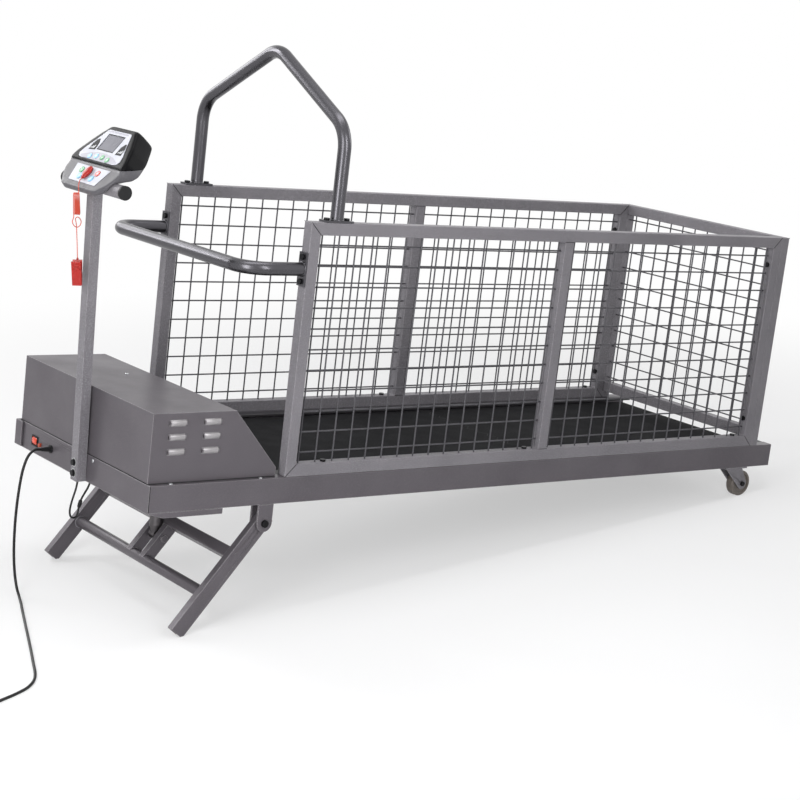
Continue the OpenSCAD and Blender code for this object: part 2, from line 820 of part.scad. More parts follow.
// Actuator: gearbox, motor and screw that swing on the bridge's pin
module actuator_body() {
    color(black) deck() on_actuator() {
        difference() {
            translate([-gear_over, -gear_w / 2, -gear_over])
                cube([gear_h + gear_over, gear_w, 2 * gear_over]);
            rod_y(act_pin_r + fit_gap, gear_w + cut_over);
        }
        translate([gear_h - lift_motor_r, 0, -gear_over - lift_motor_l])
            cylinder(r = lift_motor_r, h = lift_motor_l, $fn = fine);
        rotate([0, 90, 0]) translate([0, 0, gear_h])
            cylinder(r = screw_r, h = act_len - gear_h - act_tube_l + screw_in, $fn = fine);
    }
}
// Moving tube over the screw, with a flat towards the upper cross tube and an eye round the lugs' pin
module actuator_tube() {
    x0 = act_len - act_tube_l;
    color(black) deck() on_actuator() difference() {
        union() {
            translate([x0, 0, 0]) rotate([0, 90, 0])
                cylinder(d = act_tube_d, h = act_tube_l - tube_eye_l, $fn = fine);
            translate([act_len - tube_eye_l, 0, 0]) rotate([0, 90, 0])
                cylinder(r1 = act_tube_d / 2, r2 = act_tube_d / 3, h = tube_eye_l, $fn = fine);
            translate([act_len, 0, 0]) rod_y(act_pin_r + 2 * act_slack + tube_wall, act_tube_d * 2 / 3);
        }
        translate([x0 - cut_over, 0, 0]) rotate([0, 90, 0])
            cylinder(r = screw_r + run_gap, h = act_tube_l - tube_end_l + cut_over, $fn = fine);
        translate([act_len - tube_flat_top, -act_tube_d, tube_flat])
            cube([tube_flat_top - tube_flat_low, 2 * act_tube_d, act_tube_d]);
        translate([act_len, 0, 0]) rod_y(act_pin_r + act_slack, act_tube_d + cut_over);
    }
}

// Motor hood: one folded cover, open below, with pressed vents on both sides
hood_slope = atan2(hood_h - hood_lip, hood_l - hood_top_l);
module hood_side(w) {
    polygon([[w, w > 0 ? -cut_over : 0], [w, hood_h - w], [hood_top_l - w * tan(hood_slope / 2), hood_h - w],
        [hood_l - w, hood_lip - w * tan(45 - hood_slope / 2)], [hood_l - w, w > 0 ? -cut_over : 0]]);
}
module at_vents() {
    for (sx = vent_x_shares, sz = vent_z_shares)
        translate([sx * hood_l, -hood_w / 2, sz * hood_h]) rotate([0, 90, 0]) children();
}
module hood() {
    depth = vent_cyl_r - vent_out;
    color(coat) deck() {
        difference() {
            rotate([90, 0, 0]) linear_extrude(hood_w, center = true) hood_side(0);
            rotate([90, 0, 0]) linear_extrude(hood_w - 2 * sheet_t, center = true) hood_side(sheet_t);
            both_sides() at_vents() translate([0, depth, 0])
                cylinder(r = vent_cyl_r - sheet_t / 2, h = vent_l, center = true, $fn = coarse);
        }
        both_sides() at_vents() difference() {
            translate([0, depth, 0]) cylinder(r = vent_cyl_r, h = vent_l, center = true, $fn = coarse);
            translate([0, depth, -sheet_t])
                cylinder(r = vent_cyl_r - sheet_t, h = vent_l, center = true, $fn = coarse);
            translate([0, vent_cyl_r + sheet_t / 2, 0])
                cube([2 * vent_cyl_r, 2 * vent_cyl_r, 2 * vent_l], center = true);
        }
    }
}

// Incline frame: brackets under the rails, two legs and what ties them
module leg_brackets() {
    color(coat) deck() both_sides()
        for (s = [-1, 1])
            translate([pivot_x, -leg_y + s * (rail_w - bracket_t) / 2, 0]) difference() {
                union() {
                    translate([-bracket_r, -bracket_t / 2, pivot_z])
                        cube([2 * bracket_r, bracket_t, pivot_drop]);
                    translate([0, 0, pivot_z]) rod_y(bracket_r, bracket_t);
                }
                translate([0, 0, pivot_z]) rod_y(pivot_r + fit_gap, bracket_t + cut_over);
            }
}
// Pivot bolts of the legs and axles of the wheels
module headed_pin(r, l, head_r, head_h) {
    rod_y(r, l);
    for (s = [-1, 1]) translate([0, s * (l + head_h) / 2, 0]) rod_y(head_r, head_h);
}
module axle_bolts() {
    color(black) deck() both_sides() {
        translate([pivot_x, -leg_y, pivot_z]) headed_pin(pivot_r, rail_w, pivot_head_r, pivot_head_h);
        translate([wheel_x, -leg_y, wheel_z]) headed_pin(wheel_axle_r, rail_w, bolt_head_r, bolt_head_h);
    }
}
module leg_side(over) {
    translate([-leg_over, -leg_d / 2 + over]) square([leg_l + leg_over, leg_d - 2 * over]);
}
module lift_legs() {
    color(coat) deck() on_leg() both_sides() translate([0, -leg_y, 0]) difference() {
        rotate([90, 0, 0]) linear_extrude(leg_w, center = true) leg_side(0);
        translate([-leg_over - cut_over, tube_wall - leg_w / 2, tube_wall - leg_d / 2])
            cube([leg_l + leg_over + 2 * cut_over, leg_w - 2 * tube_wall, leg_d - 2 * tube_wall]);
        rod_y(pivot_r + fit_gap, leg_w + cut_over);
        rotate([0, leg_floor_angle - 90, 0]) translate([leg_floor_l, -leg_w, -leg_l])
            cube([leg_l, 2 * leg_w, 3 * leg_l]);
    }
}
module leg_cross_tubes() {
    cross_bore = cross_w - 2 * tube_wall;
    color(coat) deck() on_leg() {
        translate([cross_low, 0, 0]) difference() {
            rod_y(cross_d / 2, 2 * leg_inner);
            rod_y(cross_d / 2 - tube_wall, 2 * (leg_inner + cut_over));
        }
        translate([cross_up, 0, 0]) difference() {
            cube([cross_w, 2 * leg_inner, cross_w], center = true);
            cube([cross_bore, 2 * (leg_inner + cut_over), cross_bore], center = true);
        }
    }
}
// Lug bars between the cross tubes, and the pin that the actuator pushes
module leg_lugs() {
    x0 = cross_up + cross_w / 2;
    color(coat) deck() on_leg()
        for (s = [-1, 1])
            translate([0, act_y + s * (lug_gap + lug_w) / 2, 0]) difference() {
                translate([x0, -lug_w / 2, -lug_h / 2]) cube([cross_low - x0, lug_w, lug_h]);
                translate([cross_low, 0, 0]) rod_y(cross_d / 2, lug_w + cut_over);
                translate([lug_pin_l, 0, 0]) rod_y(act_pin_r + fit_gap, lug_w + cut_over);
            }
    color(black) deck() on_leg() translate([lug_pin_l, act_y, 0])
        headed_pin(act_pin_r, lug_gap + 2 * lug_w, pivot_head_r, pivot_head_h);
}

// Fixed forks with a wheel each
module wheel_brackets() {
    x0 = wheel_x - fork_lead;
    z0 = -rail_h - fork_base_t;
    color(coat) deck() both_sides() {
        translate([x0, -deck_w / 2, z0]) cube([fork_base_l, rail_w, fork_base_t]);
        for (s = [-1, 1])
            translate([0, -leg_y + s * (rail_w - fork_t) / 2, 0]) difference() {
                rotate([90, 0, 0]) linear_extrude(fork_t, center = true) {
                    polygon([[x0, z0 + fork_base_t], [x0 + fork_top_l, z0 + fork_base_t],
                        [wheel_x + fork_r * cos(leg_angle), wheel_z + fork_r * sin(leg_angle)],
                        [wheel_x - fork_r * sin(leg_angle), wheel_z - fork_r * cos(leg_angle)]]);
                    translate([wheel_x, wheel_z]) circle(r = fork_r, $fn = fine);
                }
                translate([wheel_x, 0, wheel_z]) rod_y(wheel_axle_r + fit_gap, fork_t + cut_over);
            }
    }
}
// Half of the wheel's section, from the bore to the tread on the near side, or back again on the far side
function wheel_half(s) = let (
        side = s * wheel_w / 2,
        dish = s * (wheel_w / 2 - wheel_dish),
        rim_r = wheel_r - wheel_rim,
        edge_r = wheel_r - wheel_crown,
        points = [[wheel_axle_r + fit_gap, side], [wheel_hub_r, side], [wheel_hub_r, dish], [rim_r, dish],
            [rim_r, side], [edge_r, side], [wheel_r, s * (wheel_w / 2 - wheel_crown)]])
    s < 0 ? points : [for (i = [len(points) - 1 : -1 : 0]) points[i]];
module wheel() {
    color("#6f655c") deck() translate([wheel_x, -leg_y, wheel_z]) rotate([90, 0, 0])
        rotate_extrude($fn = fine) polygon(concat(wheel_half(-1), wheel_half(1)));
}
module wheel_near() { wheel(); }
module wheel_far() { mirror([0, 1, 0]) wheel(); }

// Cage panels: square tube frames, grown by less than nothing for the hollow inside
module tube_box(low, high, over) {
    translate(low + [over, over, over]) cube(high - low - 2 * [over, over, over]);
}
module side_frame(over) {
    y0 = -deck_w / 2;
    y1 = y0 + cage_tube;
    tube_box([cage_x, y0, 0], [rear_x, y1, cage_tube], over);
    tube_box([cage_x, y0, cage_h - cage_tube], [rear_x, y1, cage_h], over);
    for (x = [cage_x, mid_x - cage_tube / 2, rear_x - cage_tube])
        tube_box([x, y0, 0], [x + cage_tube, y1, cage_h], over);
}
module side_panels() {
    color(coat) deck() both_sides() difference() {
        side_frame(0);
        side_frame(tube_wall);
        at_foot_bolts() bolt_hole(cage_tube + cut_over);
        at_arch_bolts() bolt_hole(flange_t + 2 * tube_wall);
        at_handlebar_bolts() bolt_hole(flange_t + 2 * tube_wall);
        at_rear_bolts() bolt_hole(cage_tube + cut_over);
    }
}
module rear_frame(over) {
    y0 = -deck_w / 2;
    tube_box([rear_x, y0, cage_h - cage_tube], [rear_x + cage_tube, -y0, cage_h], over);
    tube_box([rear_x, y0, rear_lift], [rear_x + cage_tube, -y0, rear_lift + cage_tube], over);
    for (y = [y0, -y0 - cage_tube])
        tube_box([rear_x, y, 0], [rear_x + cage_tube, y + cage_tube, cage_h], over);
}
module rear_panel() {
    color(coat) deck() difference() {
        rear_frame(0);
        rear_frame(tube_wall);
        both_sides() at_rear_bolts() bolt_hole(cage_tube + 2 * tube_wall);
    }
}

// Wires across a span, near equal and centred
function wire_count(span) = ceil(span / mesh_pitch);
function wire_at(span, i) = (span - (wire_count(span) - 1) * mesh_pitch) / 2 + i * mesh_pitch;
function between_wires(span, i) = wire_at(span, i) + mesh_pitch / 2;
module mesh(l, h) {
    step = (wire_d + wire_gap) / 2;
    for (i = [0 : wire_count(l) - 1])
        translate([wire_at(l, i), -step, 0]) cylinder(d = wire_d, h = h, $fn = wire_sides);
    for (i = [0 : wire_count(h) - 1])
        translate([0, step, wire_at(h, i)]) rotate([0, 90, 0]) cylinder(d = wire_d, h = l, $fn = wire_sides);
}
module side_mesh() {
    for (x = [cage_x + cage_tube, mid_x + cage_tube / 2])
        translate([x, -cage_y, cage_tube]) mesh(bay_l, mesh_h);
}
module mesh_near() { color(coat_dark) deck() side_mesh(); }
module mesh_far() { color(coat_dark) deck() mirror([0, 1, 0]) side_mesh(); }
module mesh_rear() {
    color(coat_dark) deck()
        translate([rear_x + cage_tube / 2, cage_tube - deck_w / 2, rear_lift + cage_tube]) rotate([0, 0, 90])
            mesh(deck_w - 2 * cage_tube, mesh_h - rear_lift);
}

// Bent tube arch on flanges over the side panels
module guard_arch() {
    path = [[-cage_y, 0], [-cage_y, arch_shoulder - flange_t], [0, arch_crown - flange_t],
        [cage_y, arch_shoulder - flange_t], [cage_y, 0]];
    color(coat) deck() {
        translate([arch_x, 0, cage_h + flange_t]) rotate([90, 0, 90])
            bent_tube(path, arch_bend_r, bar_r, bar_wall);
        both_sides() difference() {
            translate([arch_x - flange_l / 2, -cage_y - cage_tube / 2, cage_h])
                cube([flange_l, cage_tube, flange_t]);
            translate([arch_x, -cage_y, cage_h - cut_over])
                cylinder(r = bar_r - bar_wall, h = flange_t + 2 * cut_over, $fn = fine);
            at_arch_bolts() bolt_hole(flange_t + cut_over);
        }
    }
}
module handlebar() {
    x0 = cage_x - flange_t;
    x1 = cage_x - handlebar_reach;
    path = [[x0, -cage_y], [x1, -cage_y], [x1, cage_y], [x0, cage_y]];
    color(coat) deck() {
        translate([0, 0, handlebar_z]) bent_tube(path, handlebar_bend_r, bar_r, bar_wall);
        both_sides() difference() {
            translate([x0, -cage_y - cage_tube / 2, handlebar_z - flange_l / 2])
                cube([flange_t, cage_tube, flange_l]);
            translate([x0 - cut_over, -cage_y, handlebar_z]) rotate([0, 90, 0])
                cylinder(r = bar_r - bar_wall, h = flange_t + 2 * cut_over, $fn = fine);
            at_handlebar_bolts() bolt_hole(flange_t + cut_over);
        }
    }
}
module frame_bolts() {
    color(black) deck() {
        both_sides() {
            at_foot_bolts() bolt(cage_tube + tube_wall + bolt_end);
            at_arch_bolts() bolt(flange_t + tube_wall + bolt_end);
            at_handlebar_bolts() bolt(flange_t + tube_wall + bolt_end);
            at_rear_bolts() bolt(cage_tube + tube_wall + bolt_end);
        }
        at_column_bolts() bolt(column_bolt_l, washer_t);
    }
}

// Column, coped to the crossbar
module column() {
    color(coat) deck() difference() {
        on_column() difference() {
            translate([-column_d, -column_w / 2, 0]) cube([column_d, column_w, column_h]);
            translate([column_wall - column_d, column_wall - column_w / 2, -cut_over])
                cube([column_d - 2 * column_wall, column_w - 2 * column_wall, column_h + 2 * cut_over]);
            translate([-column_d / 2, 0, column_h]) rod_y(crossbar_r, column_w + cut_over);
        }
        at_column_bolts() bolt_hole(column_d + cut_over);
    }
}
module crossbar() {
    color(coat) deck() on_column() translate([-column_d / 2, 0, column_h]) difference() {
        rod_y(crossbar_r, crossbar_l);
        rod_y(crossbar_r - bar_wall, crossbar_l + cut_over);
    }
}
module crossbar_caps() {
    color(black) deck() on_column() translate([-column_d / 2, 0, column_h]) both_sides()
        translate([0, -crossbar_l / 2, 0]) {
            translate([0, -cap_t / 2, 0]) rod_y(crossbar_r + cap_lip, cap_t);
            translate([0, cap_plug / 2, 0]) rod_y(crossbar_r - bar_wall - fit_gap, cap_plug);
        }
}

// Outlines on the console's face, X across and Y up the face
function half_outline(shares) = [for (p = shares) [p[1] * console_w / 2, p[0] * face_top]];
function flip(points) = [for (i = [len(points) - 1 : -1 : 0]) [-points[i][0], points[i][1]]];
module face_area(shares) {
    polygon(concat(half_outline(shares), flip(half_outline(shares))));
}
module at_upper_key(i) {
    translate([upper_key_shares[i][1] * console_w / 2, upper_key_shares[i][0] * face_top, 0]) children();
}
module at_lower_key(i) {
    translate([lower_key_shares[i][1] * console_w / 2, lower_key_shares[i][0] * face_top, -face_step])
        children();
}
module at_safety_key() {
    translate([safety_key_share[1], safety_key_share[0] * face_top, -face_step]) children();
}
module all_keys(deep) {
    for (i = [0 : 3]) {
        at_upper_key(i) cylinder(r = key_r + key_gap, h = 2 * deep, center = true, $fn = coarse);
        at_lower_key(i) cylinder(r = pad_r + key_gap, h = 2 * deep, center = true, $fn = coarse);
    }
}

// Moulded console: a profile along the face, cut to the outline of the face
module console_profile() {
    polygon(concat([[face_break - face_step / 2, -face_step], [face_break + face_step / 2, 0]],
        [for (p = face_profile_shares) [p[0] * face_top, p[1] * console_n]],
        [[face_profile_shares[len(face_profile_shares) - 1][0] * face_top + face_step, -face_step]]));
}
module console_shell() {
    deep = key_well + key_travel + key_gap;
    color(black) deck() difference() {
        on_face() difference() {
            intersection() {
                rotate([90, 0, 90]) linear_extrude(console_w, center = true) console_profile();
                translate([0, 0, -2 * console_n])
                    linear_extrude(3 * console_n) face_area(face_outline_shares);
            }
            all_keys(deep);
            translate([0, 0, -bay_recess]) linear_extrude(console_n) square([lcd_w, lcd_h], center = true);
            at_safety_key()
                cylinder(r = safety_stem_r + run_gap, h = 6 / 5 * safety_key_t, center = true, $fn = coarse);
        }
        on_column() {
            translate([-column_d / 2, 0, column_h]) rod_y(crossbar_r + fit_gap, console_w + crossbar_l);
            translate([-column_d - fit_gap, -column_w / 2 - fit_gap, 0])
                cube([column_d + 2 * fit_gap, column_w + 2 * fit_gap, column_h]);
        }
    }
}
module console_face() {
    color("#c9ccd2") deck() on_face() {
        difference() {
            linear_extrude(skin_t) face_area(upper_skin_shares);
            translate([0, 0, -skin_t]) linear_extrude(3 * skin_t) square([lcd_w, lcd_h], center = true);
            all_keys(face_step / 2);
        }
        translate([0, 0, -face_step]) difference() {
            linear_extrude(skin_t) face_area(lower_skin_shares);
            translate([0, 0, face_step]) all_keys(face_step / 2);
            translate([0, 0, face_step]) at_safety_key()
                cylinder(r = safety_stem_r + run_gap, h = 4 * skin_t, center = true, $fn = coarse);
        }
    }
}
module display() {
    color("#7d8088") deck() on_face() translate([0, 0, -bay_recess])
        linear_extrude(bay_recess + skin_t / 2)
            square([lcd_w - 2 * key_gap, lcd_h - 2 * key_gap], center = true);
}
module key_cap(r) {
    translate([0, 0, -key_well]) cylinder(r = r, h = key_well + skin_t + key_proud, $fn = coarse);
}
module upper_key(i, paint) { color(paint) deck() on_face() at_upper_key(i) key_cap(key_r); }
module lower_key(i, paint) { color(paint) deck() on_face() at_lower_key(i) key_cap(pad_r); }
module upper_key_1() { upper_key(0, "#2b8fd8"); }
module upper_key_2() { upper_key(1, "#2b8fd8"); }
module upper_key_3() { upper_key(2, "#1f9a4b"); }
module upper_key_4() { upper_key(3, "#1f9a4b"); }
module start_key() { lower_key(0, "#1f9a4b"); }
module stop_key() { lower_key(1, red); }
module slower_key() { lower_key(2, "#5aa9dd"); }
module faster_key() { lower_key(3, "#5aa9dd"); }
module safety_key() {
    color(red) deck() on_face() at_safety_key() translate([0, 0, skin_t]) {
        rotate([0, 0, 90]) linear_extrude(safety_key_t) stadium(safety_key_l, safety_key_w);
        translate([0, 0, -safety_key_t / 2]) cylinder(r = safety_stem_r, h = safety_key_t, $fn = coarse);
    }
}

// Switch panel on the front pan
module on_pan(share, z) {
    translate([-sheet_t, share * deck_w / 2, z]) rotate([0, -90, 0]) children();
}
module power_switch() {
    inset = bezel_rim + fit_gap;
    color(black) deck() on_pan(switch_share, switch_z) difference() {
        union() {
            translate([-switch_h / 2, -switch_w / 2, 0]) cube([switch_h, switch_w, bezel_t]);
            translate([inset - switch_h / 2, inset - switch_w / 2, -switch_depth])
                cube([switch_h - 2 * inset, switch_w - 2 * inset, switch_depth]);
        }
        translate([2 * bezel_rim - switch_h / 2, 2 * bezel_rim - switch_w / 2, -switch_depth + bezel_t])
            cube([switch_h - 4 * bezel_rim, switch_w - 4 * bezel_rim, switch_depth + bezel_t]);
        rod_y(trunnion_r + fit_gap, switch_w - 4 * bezel_rim + 2 * trunnion_l + 2 * run_gap);
    }
}
// Rocker with a rounded face, on two trunnions in the switch's walls
module power_rocker() {
    w = switch_w - 4 * bezel_rim - 2 * run_gap;
    h = switch_h - 4 * bezel_rim - 2 * rocker_gap;
    color(red) deck() on_pan(switch_share, switch_z) {
        intersection() {
            translate([0, 0, bezel_t + rocker_proud - rocker_r]) rod_y(rocker_r, w);
            translate([-h / 2, -w / 2, -bezel_t - rocker_proud]) cube([h, w, 2 * (bezel_t + rocker_proud)]);
        }
        rod_y(trunnion_r, w + 2 * trunnion_l);
    }
}
module reset_button() {
    color(red) deck() on_pan(reset_share, reset_z) {
        translate([0, 0, -reset_travel]) cylinder(r = reset_r, h = reset_travel + reset_proud, $fn = fine);
    }
}
module cord_gland() {
    color(black) deck() on_pan(gland_share, gland_z) difference() {
        union() {
            translate([0, 0, -gland_in]) cylinder(r = gland_r, h = gland_in + gland_flange_t, $fn = fine);
            cylinder(r = gland_flange_r, h = gland_flange_t, $fn = fine);
            translate([0, 0, gland_flange_t])
                cylinder(r1 = gland_r, r2 = gland_tip_r, h = gland_l - gland_flange_t, $fn = fine);
        }
    }
}

// Cords: points on a smooth curve through places chosen by hand, and a tube of rings along them
function between(p, i, t) = let (
        a = p[max(i - 1, 0)],
        b = p[i],
        c = p[i + 1],
        d = p[min(i + 2, len(p) - 1)])
    (2 * b + (c - a) * t + (2 * a - 5 * b + 4 * c - d) * t * t + (3 * b - a - 3 * c + d) * t * t * t) / 2;
function smooth(p, steps) = concat(
    [for (i = [0 : len(p) - 2], k = [0 : steps - 1]) between(p, i, k / steps)],
    [p[len(p) - 1]]);
function unit(v) = v / norm(v);
function along(p, i) = unit(p[min(i + 1, len(p) - 1)] - p[max(i - 1, 0)]);
function square_to(v, t) = unit(v - (v * t) * t);
function carried(p, i, side) = i == len(p) ? [] : let (n = square_to(side, along(p, i)))
    concat([n], carried(p, i + 1, n));
module tube_along(p, r, sides, side) {
    last = len(p) - 1;
    n = carried(p, 0, side);
    points = [for (i = [0 : last], k = [0 : sides - 1])
        p[i] + r * (cos(360 * k / sides) * n[i] + sin(360 * k / sides) * cross(along(p, i), n[i]))];
    walls = [for (i = [0 : last - 1], k = [0 : sides - 1]) let (
            a = i * sides + k,
            b = i * sides + (k + 1) % sides)
        each [[a, a + sides, b], [b, a + sides, b + sides]]];
    end = last * sides;
    ends = [for (k = [1 : sides - 2]) each [[0, k, k + 1], [end, end + k + 1, end + k]]];
    polyhedron(points, concat(walls, ends));
}
// Least gap of a wound cord to itself, between points at least half a loop apart
function self_gap(p, d) = min([
    for (i = [0 : len(p) - 1], k = [i + loop_rings / 2 : 1 : len(p) - 1]) norm(p[i] - p[k])]) - d;
function length_of(p, i = 1) = i == len(p) ? 0 : norm(p[i] - p[i - 1]) + length_of(p, i + 1);

// Power cord from the gland to the floor
gland_tip = world([-sheet_t - gland_l, gland_share * deck_w / 2, gland_z]);
cord_path = smooth(concat([gland_tip], power_route, [coil_at(0)]), cord_steps);
module power_cord() {
    color(black) tube_along(cord_path, cord_d / 2, 10, [0, 1, 0]);
}
// Coil of two layers: inwards below, outwards on top, with a straight tail to the plug
function coil_turn_r(u) = coil_r + coil_pitch * (max(0, u - coil_low - coil_rise) - min(u, coil_low));
function coil_lift(u) = let (t = max(0, min(1, (u - coil_low) / coil_rise))) t * t * (3 - 2 * t);
function coil_angle(u) = coil_start - 360 * u;
function coil_at(u) = [
    coil_x + coil_turn_r(u) * cos(coil_angle(u)),
    coil_y + coil_turn_r(u) * sin(coil_angle(u)),
    cord_d / 2 + coil_pitch * coil_lift(u)];
plug_turn = coil_angle(coil_turns) - 90;
plug_at = coil_at(coil_turns) + coil_tail * [cos(plug_turn), sin(plug_turn), 0];
coil_path = concat([for (i = [0 : coil_turns * loop_rings]) coil_at(i / loop_rings)], [plug_at]);
module power_coil() {
    color(black) tube_along(coil_path, cord_d / 2, 6, [0, 0, 1]);
}
module plug() {
    half = plug_at[2];
    color(black) translate(plug_at) rotate([0, 0, plug_turn]) {
        rotate([0, 90, 0]) cylinder(r1 = relief_tip_r, r2 = relief_r, h = relief_l, $fn = fine);
        translate([relief_l, 0, 0]) rotate([90, 0, 90]) linear_extrude(plug_l)
            offset(r = plug_round, $fn = coarse)
                square([plug_w - 2 * plug_round, 2 * (half - plug_round)], center = true);
        for (s = [-1, 1])
            translate([relief_l + plug_l, s * blade_pitch / 2 - blade_t / 2, blade_up - blade_w / 2])
                cube([blade_l, blade_t, blade_w]);
        translate([relief_l + plug_l, 0, -blade_up]) rotate([0, 90, 0])
            cylinder(r = earth_r, h = blade_l, $fn = coarse);
    }
}

// Signal cable: a loop between the column's foot and the tray
signal_path = smooth(concat(signal_route, [for (z = [signal_in_z - signal_lead, signal_in_z, -rail_h])
    world([signal_in_x, signal_in_y, z])]), cord_steps);
module signal_cable() {
    color(black) tube_along(signal_path, signal_d / 2, 8, [0, 1, 0]);
}

// Safety cord: from the key over the console's lower edge, wound into a hank, then down to the clip
function from_hank(p) = [hank_x + p[0] * cos(hank_turn) - p[1] * sin(hank_turn),
    hank_y + p[0] * sin(hank_turn) + p[1] * cos(hank_turn), hank_z + p[2]];
hank_straight = hank_l - 2 * hank_r;
hank_arc = PI * hank_r;
hank_loop = 2 * (hank_straight + hank_arc);
// Place on a loop, s along it from the top of the strand that runs down
function hank_side(s) = s < hank_straight ? [-hank_r, hank_straight / 2 - s]
    : s < hank_straight + hank_arc ? let (a = (s - hank_straight) / hank_r * 180 / PI)
        [-hank_r * cos(a), -hank_straight / 2 - hank_r * sin(a)]
    : s < 2 * hank_straight + hank_arc ? [hank_r, s - hank_straight - hank_arc - hank_straight / 2]
    : let (a = (s - 2 * hank_straight - hank_arc) / hank_r * 180 / PI)
        [hank_r * cos(a), hank_straight / 2 + hank_r * sin(a)];
function hank_at(u) = let (p = hank_side((u - floor(u)) * hank_loop))
    from_hank([p[0], hank_pitch * (u - hank_turns / 2), p[1]]);
hank_end = hank_turns + hank_straight / hank_loop;
hank_rings = floor(hank_end * loop_rings);
hank_path = concat([for (i = [0 : hank_rings]) hank_at(i / loop_rings)], [hank_at(hank_end)]);
module lanyard_hank() {
    color(red) tube_along(hank_path, lanyard_d / 2, 6, [sin(hank_turn), -cos(hank_turn), 0]);
}
key_tail = world(from_face(safety_key_share[0] * face_top - safety_key_l / 2, 0,
    -face_step + skin_t + safety_key_t / 2));
lanyard_top = smooth(concat([key_tail], lanyard_route, [hank_at(0)]), lanyard_steps);
lanyard_low = smooth(concat([hank_at(hank_end)], [for (p = teardrop_route) from_hank(p)]), lanyard_steps);
module lanyard() {
    color(red) {
        tube_along(lanyard_top, lanyard_d / 2, 8, [0, 1, 0]);
        tube_along(lanyard_low, lanyard_d / 2, 8, [sin(hank_turn), -cos(hank_turn), 0]);
    }
}

// Spring clip: two halves on one pin, the cord tied to a knob on one handle
module on_clip() {
    end = from_hank(teardrop_route[len(teardrop_route) - 1]);
    translate(end) rotate([0, 0, hank_turn]) translate([-clip_handle - clip_t / 2, 0, -clip_top - knob_h])
        children();
}
module clip_bar() {
    rotate([90, 0, 0]) linear_extrude(clip_w, center = true)
        polygon([[clip_handle, clip_top], [clip_handle + clip_t, clip_top], [clip_gap + clip_t, 0],
            [clip_t, -clip_low], [run_gap / 2, -clip_low], [clip_gap, 0]]);
}
module clip_lug(y0, y1) {
    translate([0, y0, 0]) rotate([-90, 0, 0]) cylinder(r = clip_lug_r, h = y1 - y0, $fn = coarse);
    translate([0, y0, -clip_lug_r]) cube([clip_gap + clip_t / 2, y1 - y0, 2 * clip_lug_r]);
}
module clip_body() {
    color(red) on_clip() {
        clip_bar();
        both_sides() clip_lug(clip_w / 4 + run_gap, clip_w / 2);
        rod_y(clip_pin_r, clip_w);
        translate([clip_handle + clip_t / 2, 0, clip_top]) cylinder(r = knob_r, h = knob_h, $fn = coarse);
    }
}
module clip_jaw() {
    color(red) on_clip() mirror([1, 0, 0]) difference() {
        union() {
            clip_bar();
            clip_lug(-clip_w / 4, clip_w / 4);
        }
        rod_y(clip_pin_r + fit_gap, clip_w);
    }
}
echo(coil_gap = self_gap(coil_path, cord_d), hank_gap = self_gap(hank_path, lanyard_d));
echo(power_cord = length_of(cord_path) + length_of(coil_path), signal_cable = length_of(signal_path));
echo(lanyard = length_of(lanyard_top) + length_of(hank_path) + length_of(lanyard_low));
echo(key_tail = key_tail, hank_start = hank_at(0), hank_end = hank_at(hank_end), plug_at = plug_at);
echo(clip_pivot = from_hank(teardrop_route[len(teardrop_route) - 1]
    - [clip_handle + clip_t / 2, 0, clip_top + knob_h]));

side_rails();
cross_members();
front_pan();
deck_board();
foot_strips();
running_belt();
roller_axles();
front_roller();
rear_roller();
drive_motor();
motor_pulley();
drive_belt();
control_board();
lift_bridge();
actuator_body();
actuator_tube();
hood();
leg_brackets();
axle_bolts();
lift_legs();
leg_cross_tubes();
leg_lugs();
wheel_brackets();
wheel_near();
wheel_far();
side_panels();
rear_panel();
mesh_near();
mesh_far();
mesh_rear();
guard_arch();
handlebar();
frame_bolts();
column();
crossbar();
crossbar_caps();
console_shell();
console_face();
display();
upper_key_1();
upper_key_2();
upper_key_3();
upper_key_4();
start_key();
stop_key();
slower_key();
faster_key();
safety_key();
lanyard();
lanyard_hank();
clip_body();
clip_jaw();
power_switch();
power_rocker();
reset_button();
cord_gland();
power_cord();
power_coil();
plug();
signal_cable();
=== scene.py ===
"""Dog treadmill: finishes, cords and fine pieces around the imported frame."""

from __future__ import annotations

import json
import logging
import math
from dataclasses import dataclass, field
from enum import Enum
from typing import Any, Iterable, Sequence

import bmesh
import bpy
from mathutils import Matrix, Vector

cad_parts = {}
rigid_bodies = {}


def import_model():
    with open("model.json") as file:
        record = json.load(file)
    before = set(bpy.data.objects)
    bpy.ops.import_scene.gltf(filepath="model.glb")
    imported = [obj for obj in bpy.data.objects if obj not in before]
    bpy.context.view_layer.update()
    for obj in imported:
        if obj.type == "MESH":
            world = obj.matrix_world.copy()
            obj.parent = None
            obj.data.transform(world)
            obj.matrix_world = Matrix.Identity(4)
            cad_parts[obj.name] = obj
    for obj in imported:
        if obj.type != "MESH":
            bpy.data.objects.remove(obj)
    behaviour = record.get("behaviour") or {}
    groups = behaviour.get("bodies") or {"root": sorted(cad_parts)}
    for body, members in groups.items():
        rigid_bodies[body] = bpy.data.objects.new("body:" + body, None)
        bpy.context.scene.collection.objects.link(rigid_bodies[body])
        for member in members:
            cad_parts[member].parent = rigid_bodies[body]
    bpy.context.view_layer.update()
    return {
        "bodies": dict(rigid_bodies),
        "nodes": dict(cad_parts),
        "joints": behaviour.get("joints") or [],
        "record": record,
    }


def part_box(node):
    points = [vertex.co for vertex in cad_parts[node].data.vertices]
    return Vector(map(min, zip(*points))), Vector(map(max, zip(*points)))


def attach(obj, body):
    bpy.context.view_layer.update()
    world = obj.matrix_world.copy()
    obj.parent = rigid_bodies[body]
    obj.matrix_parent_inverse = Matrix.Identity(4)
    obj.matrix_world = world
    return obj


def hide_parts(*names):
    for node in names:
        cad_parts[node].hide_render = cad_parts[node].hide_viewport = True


LOG = logging.getLogger("treadmill")
MM = 0.001
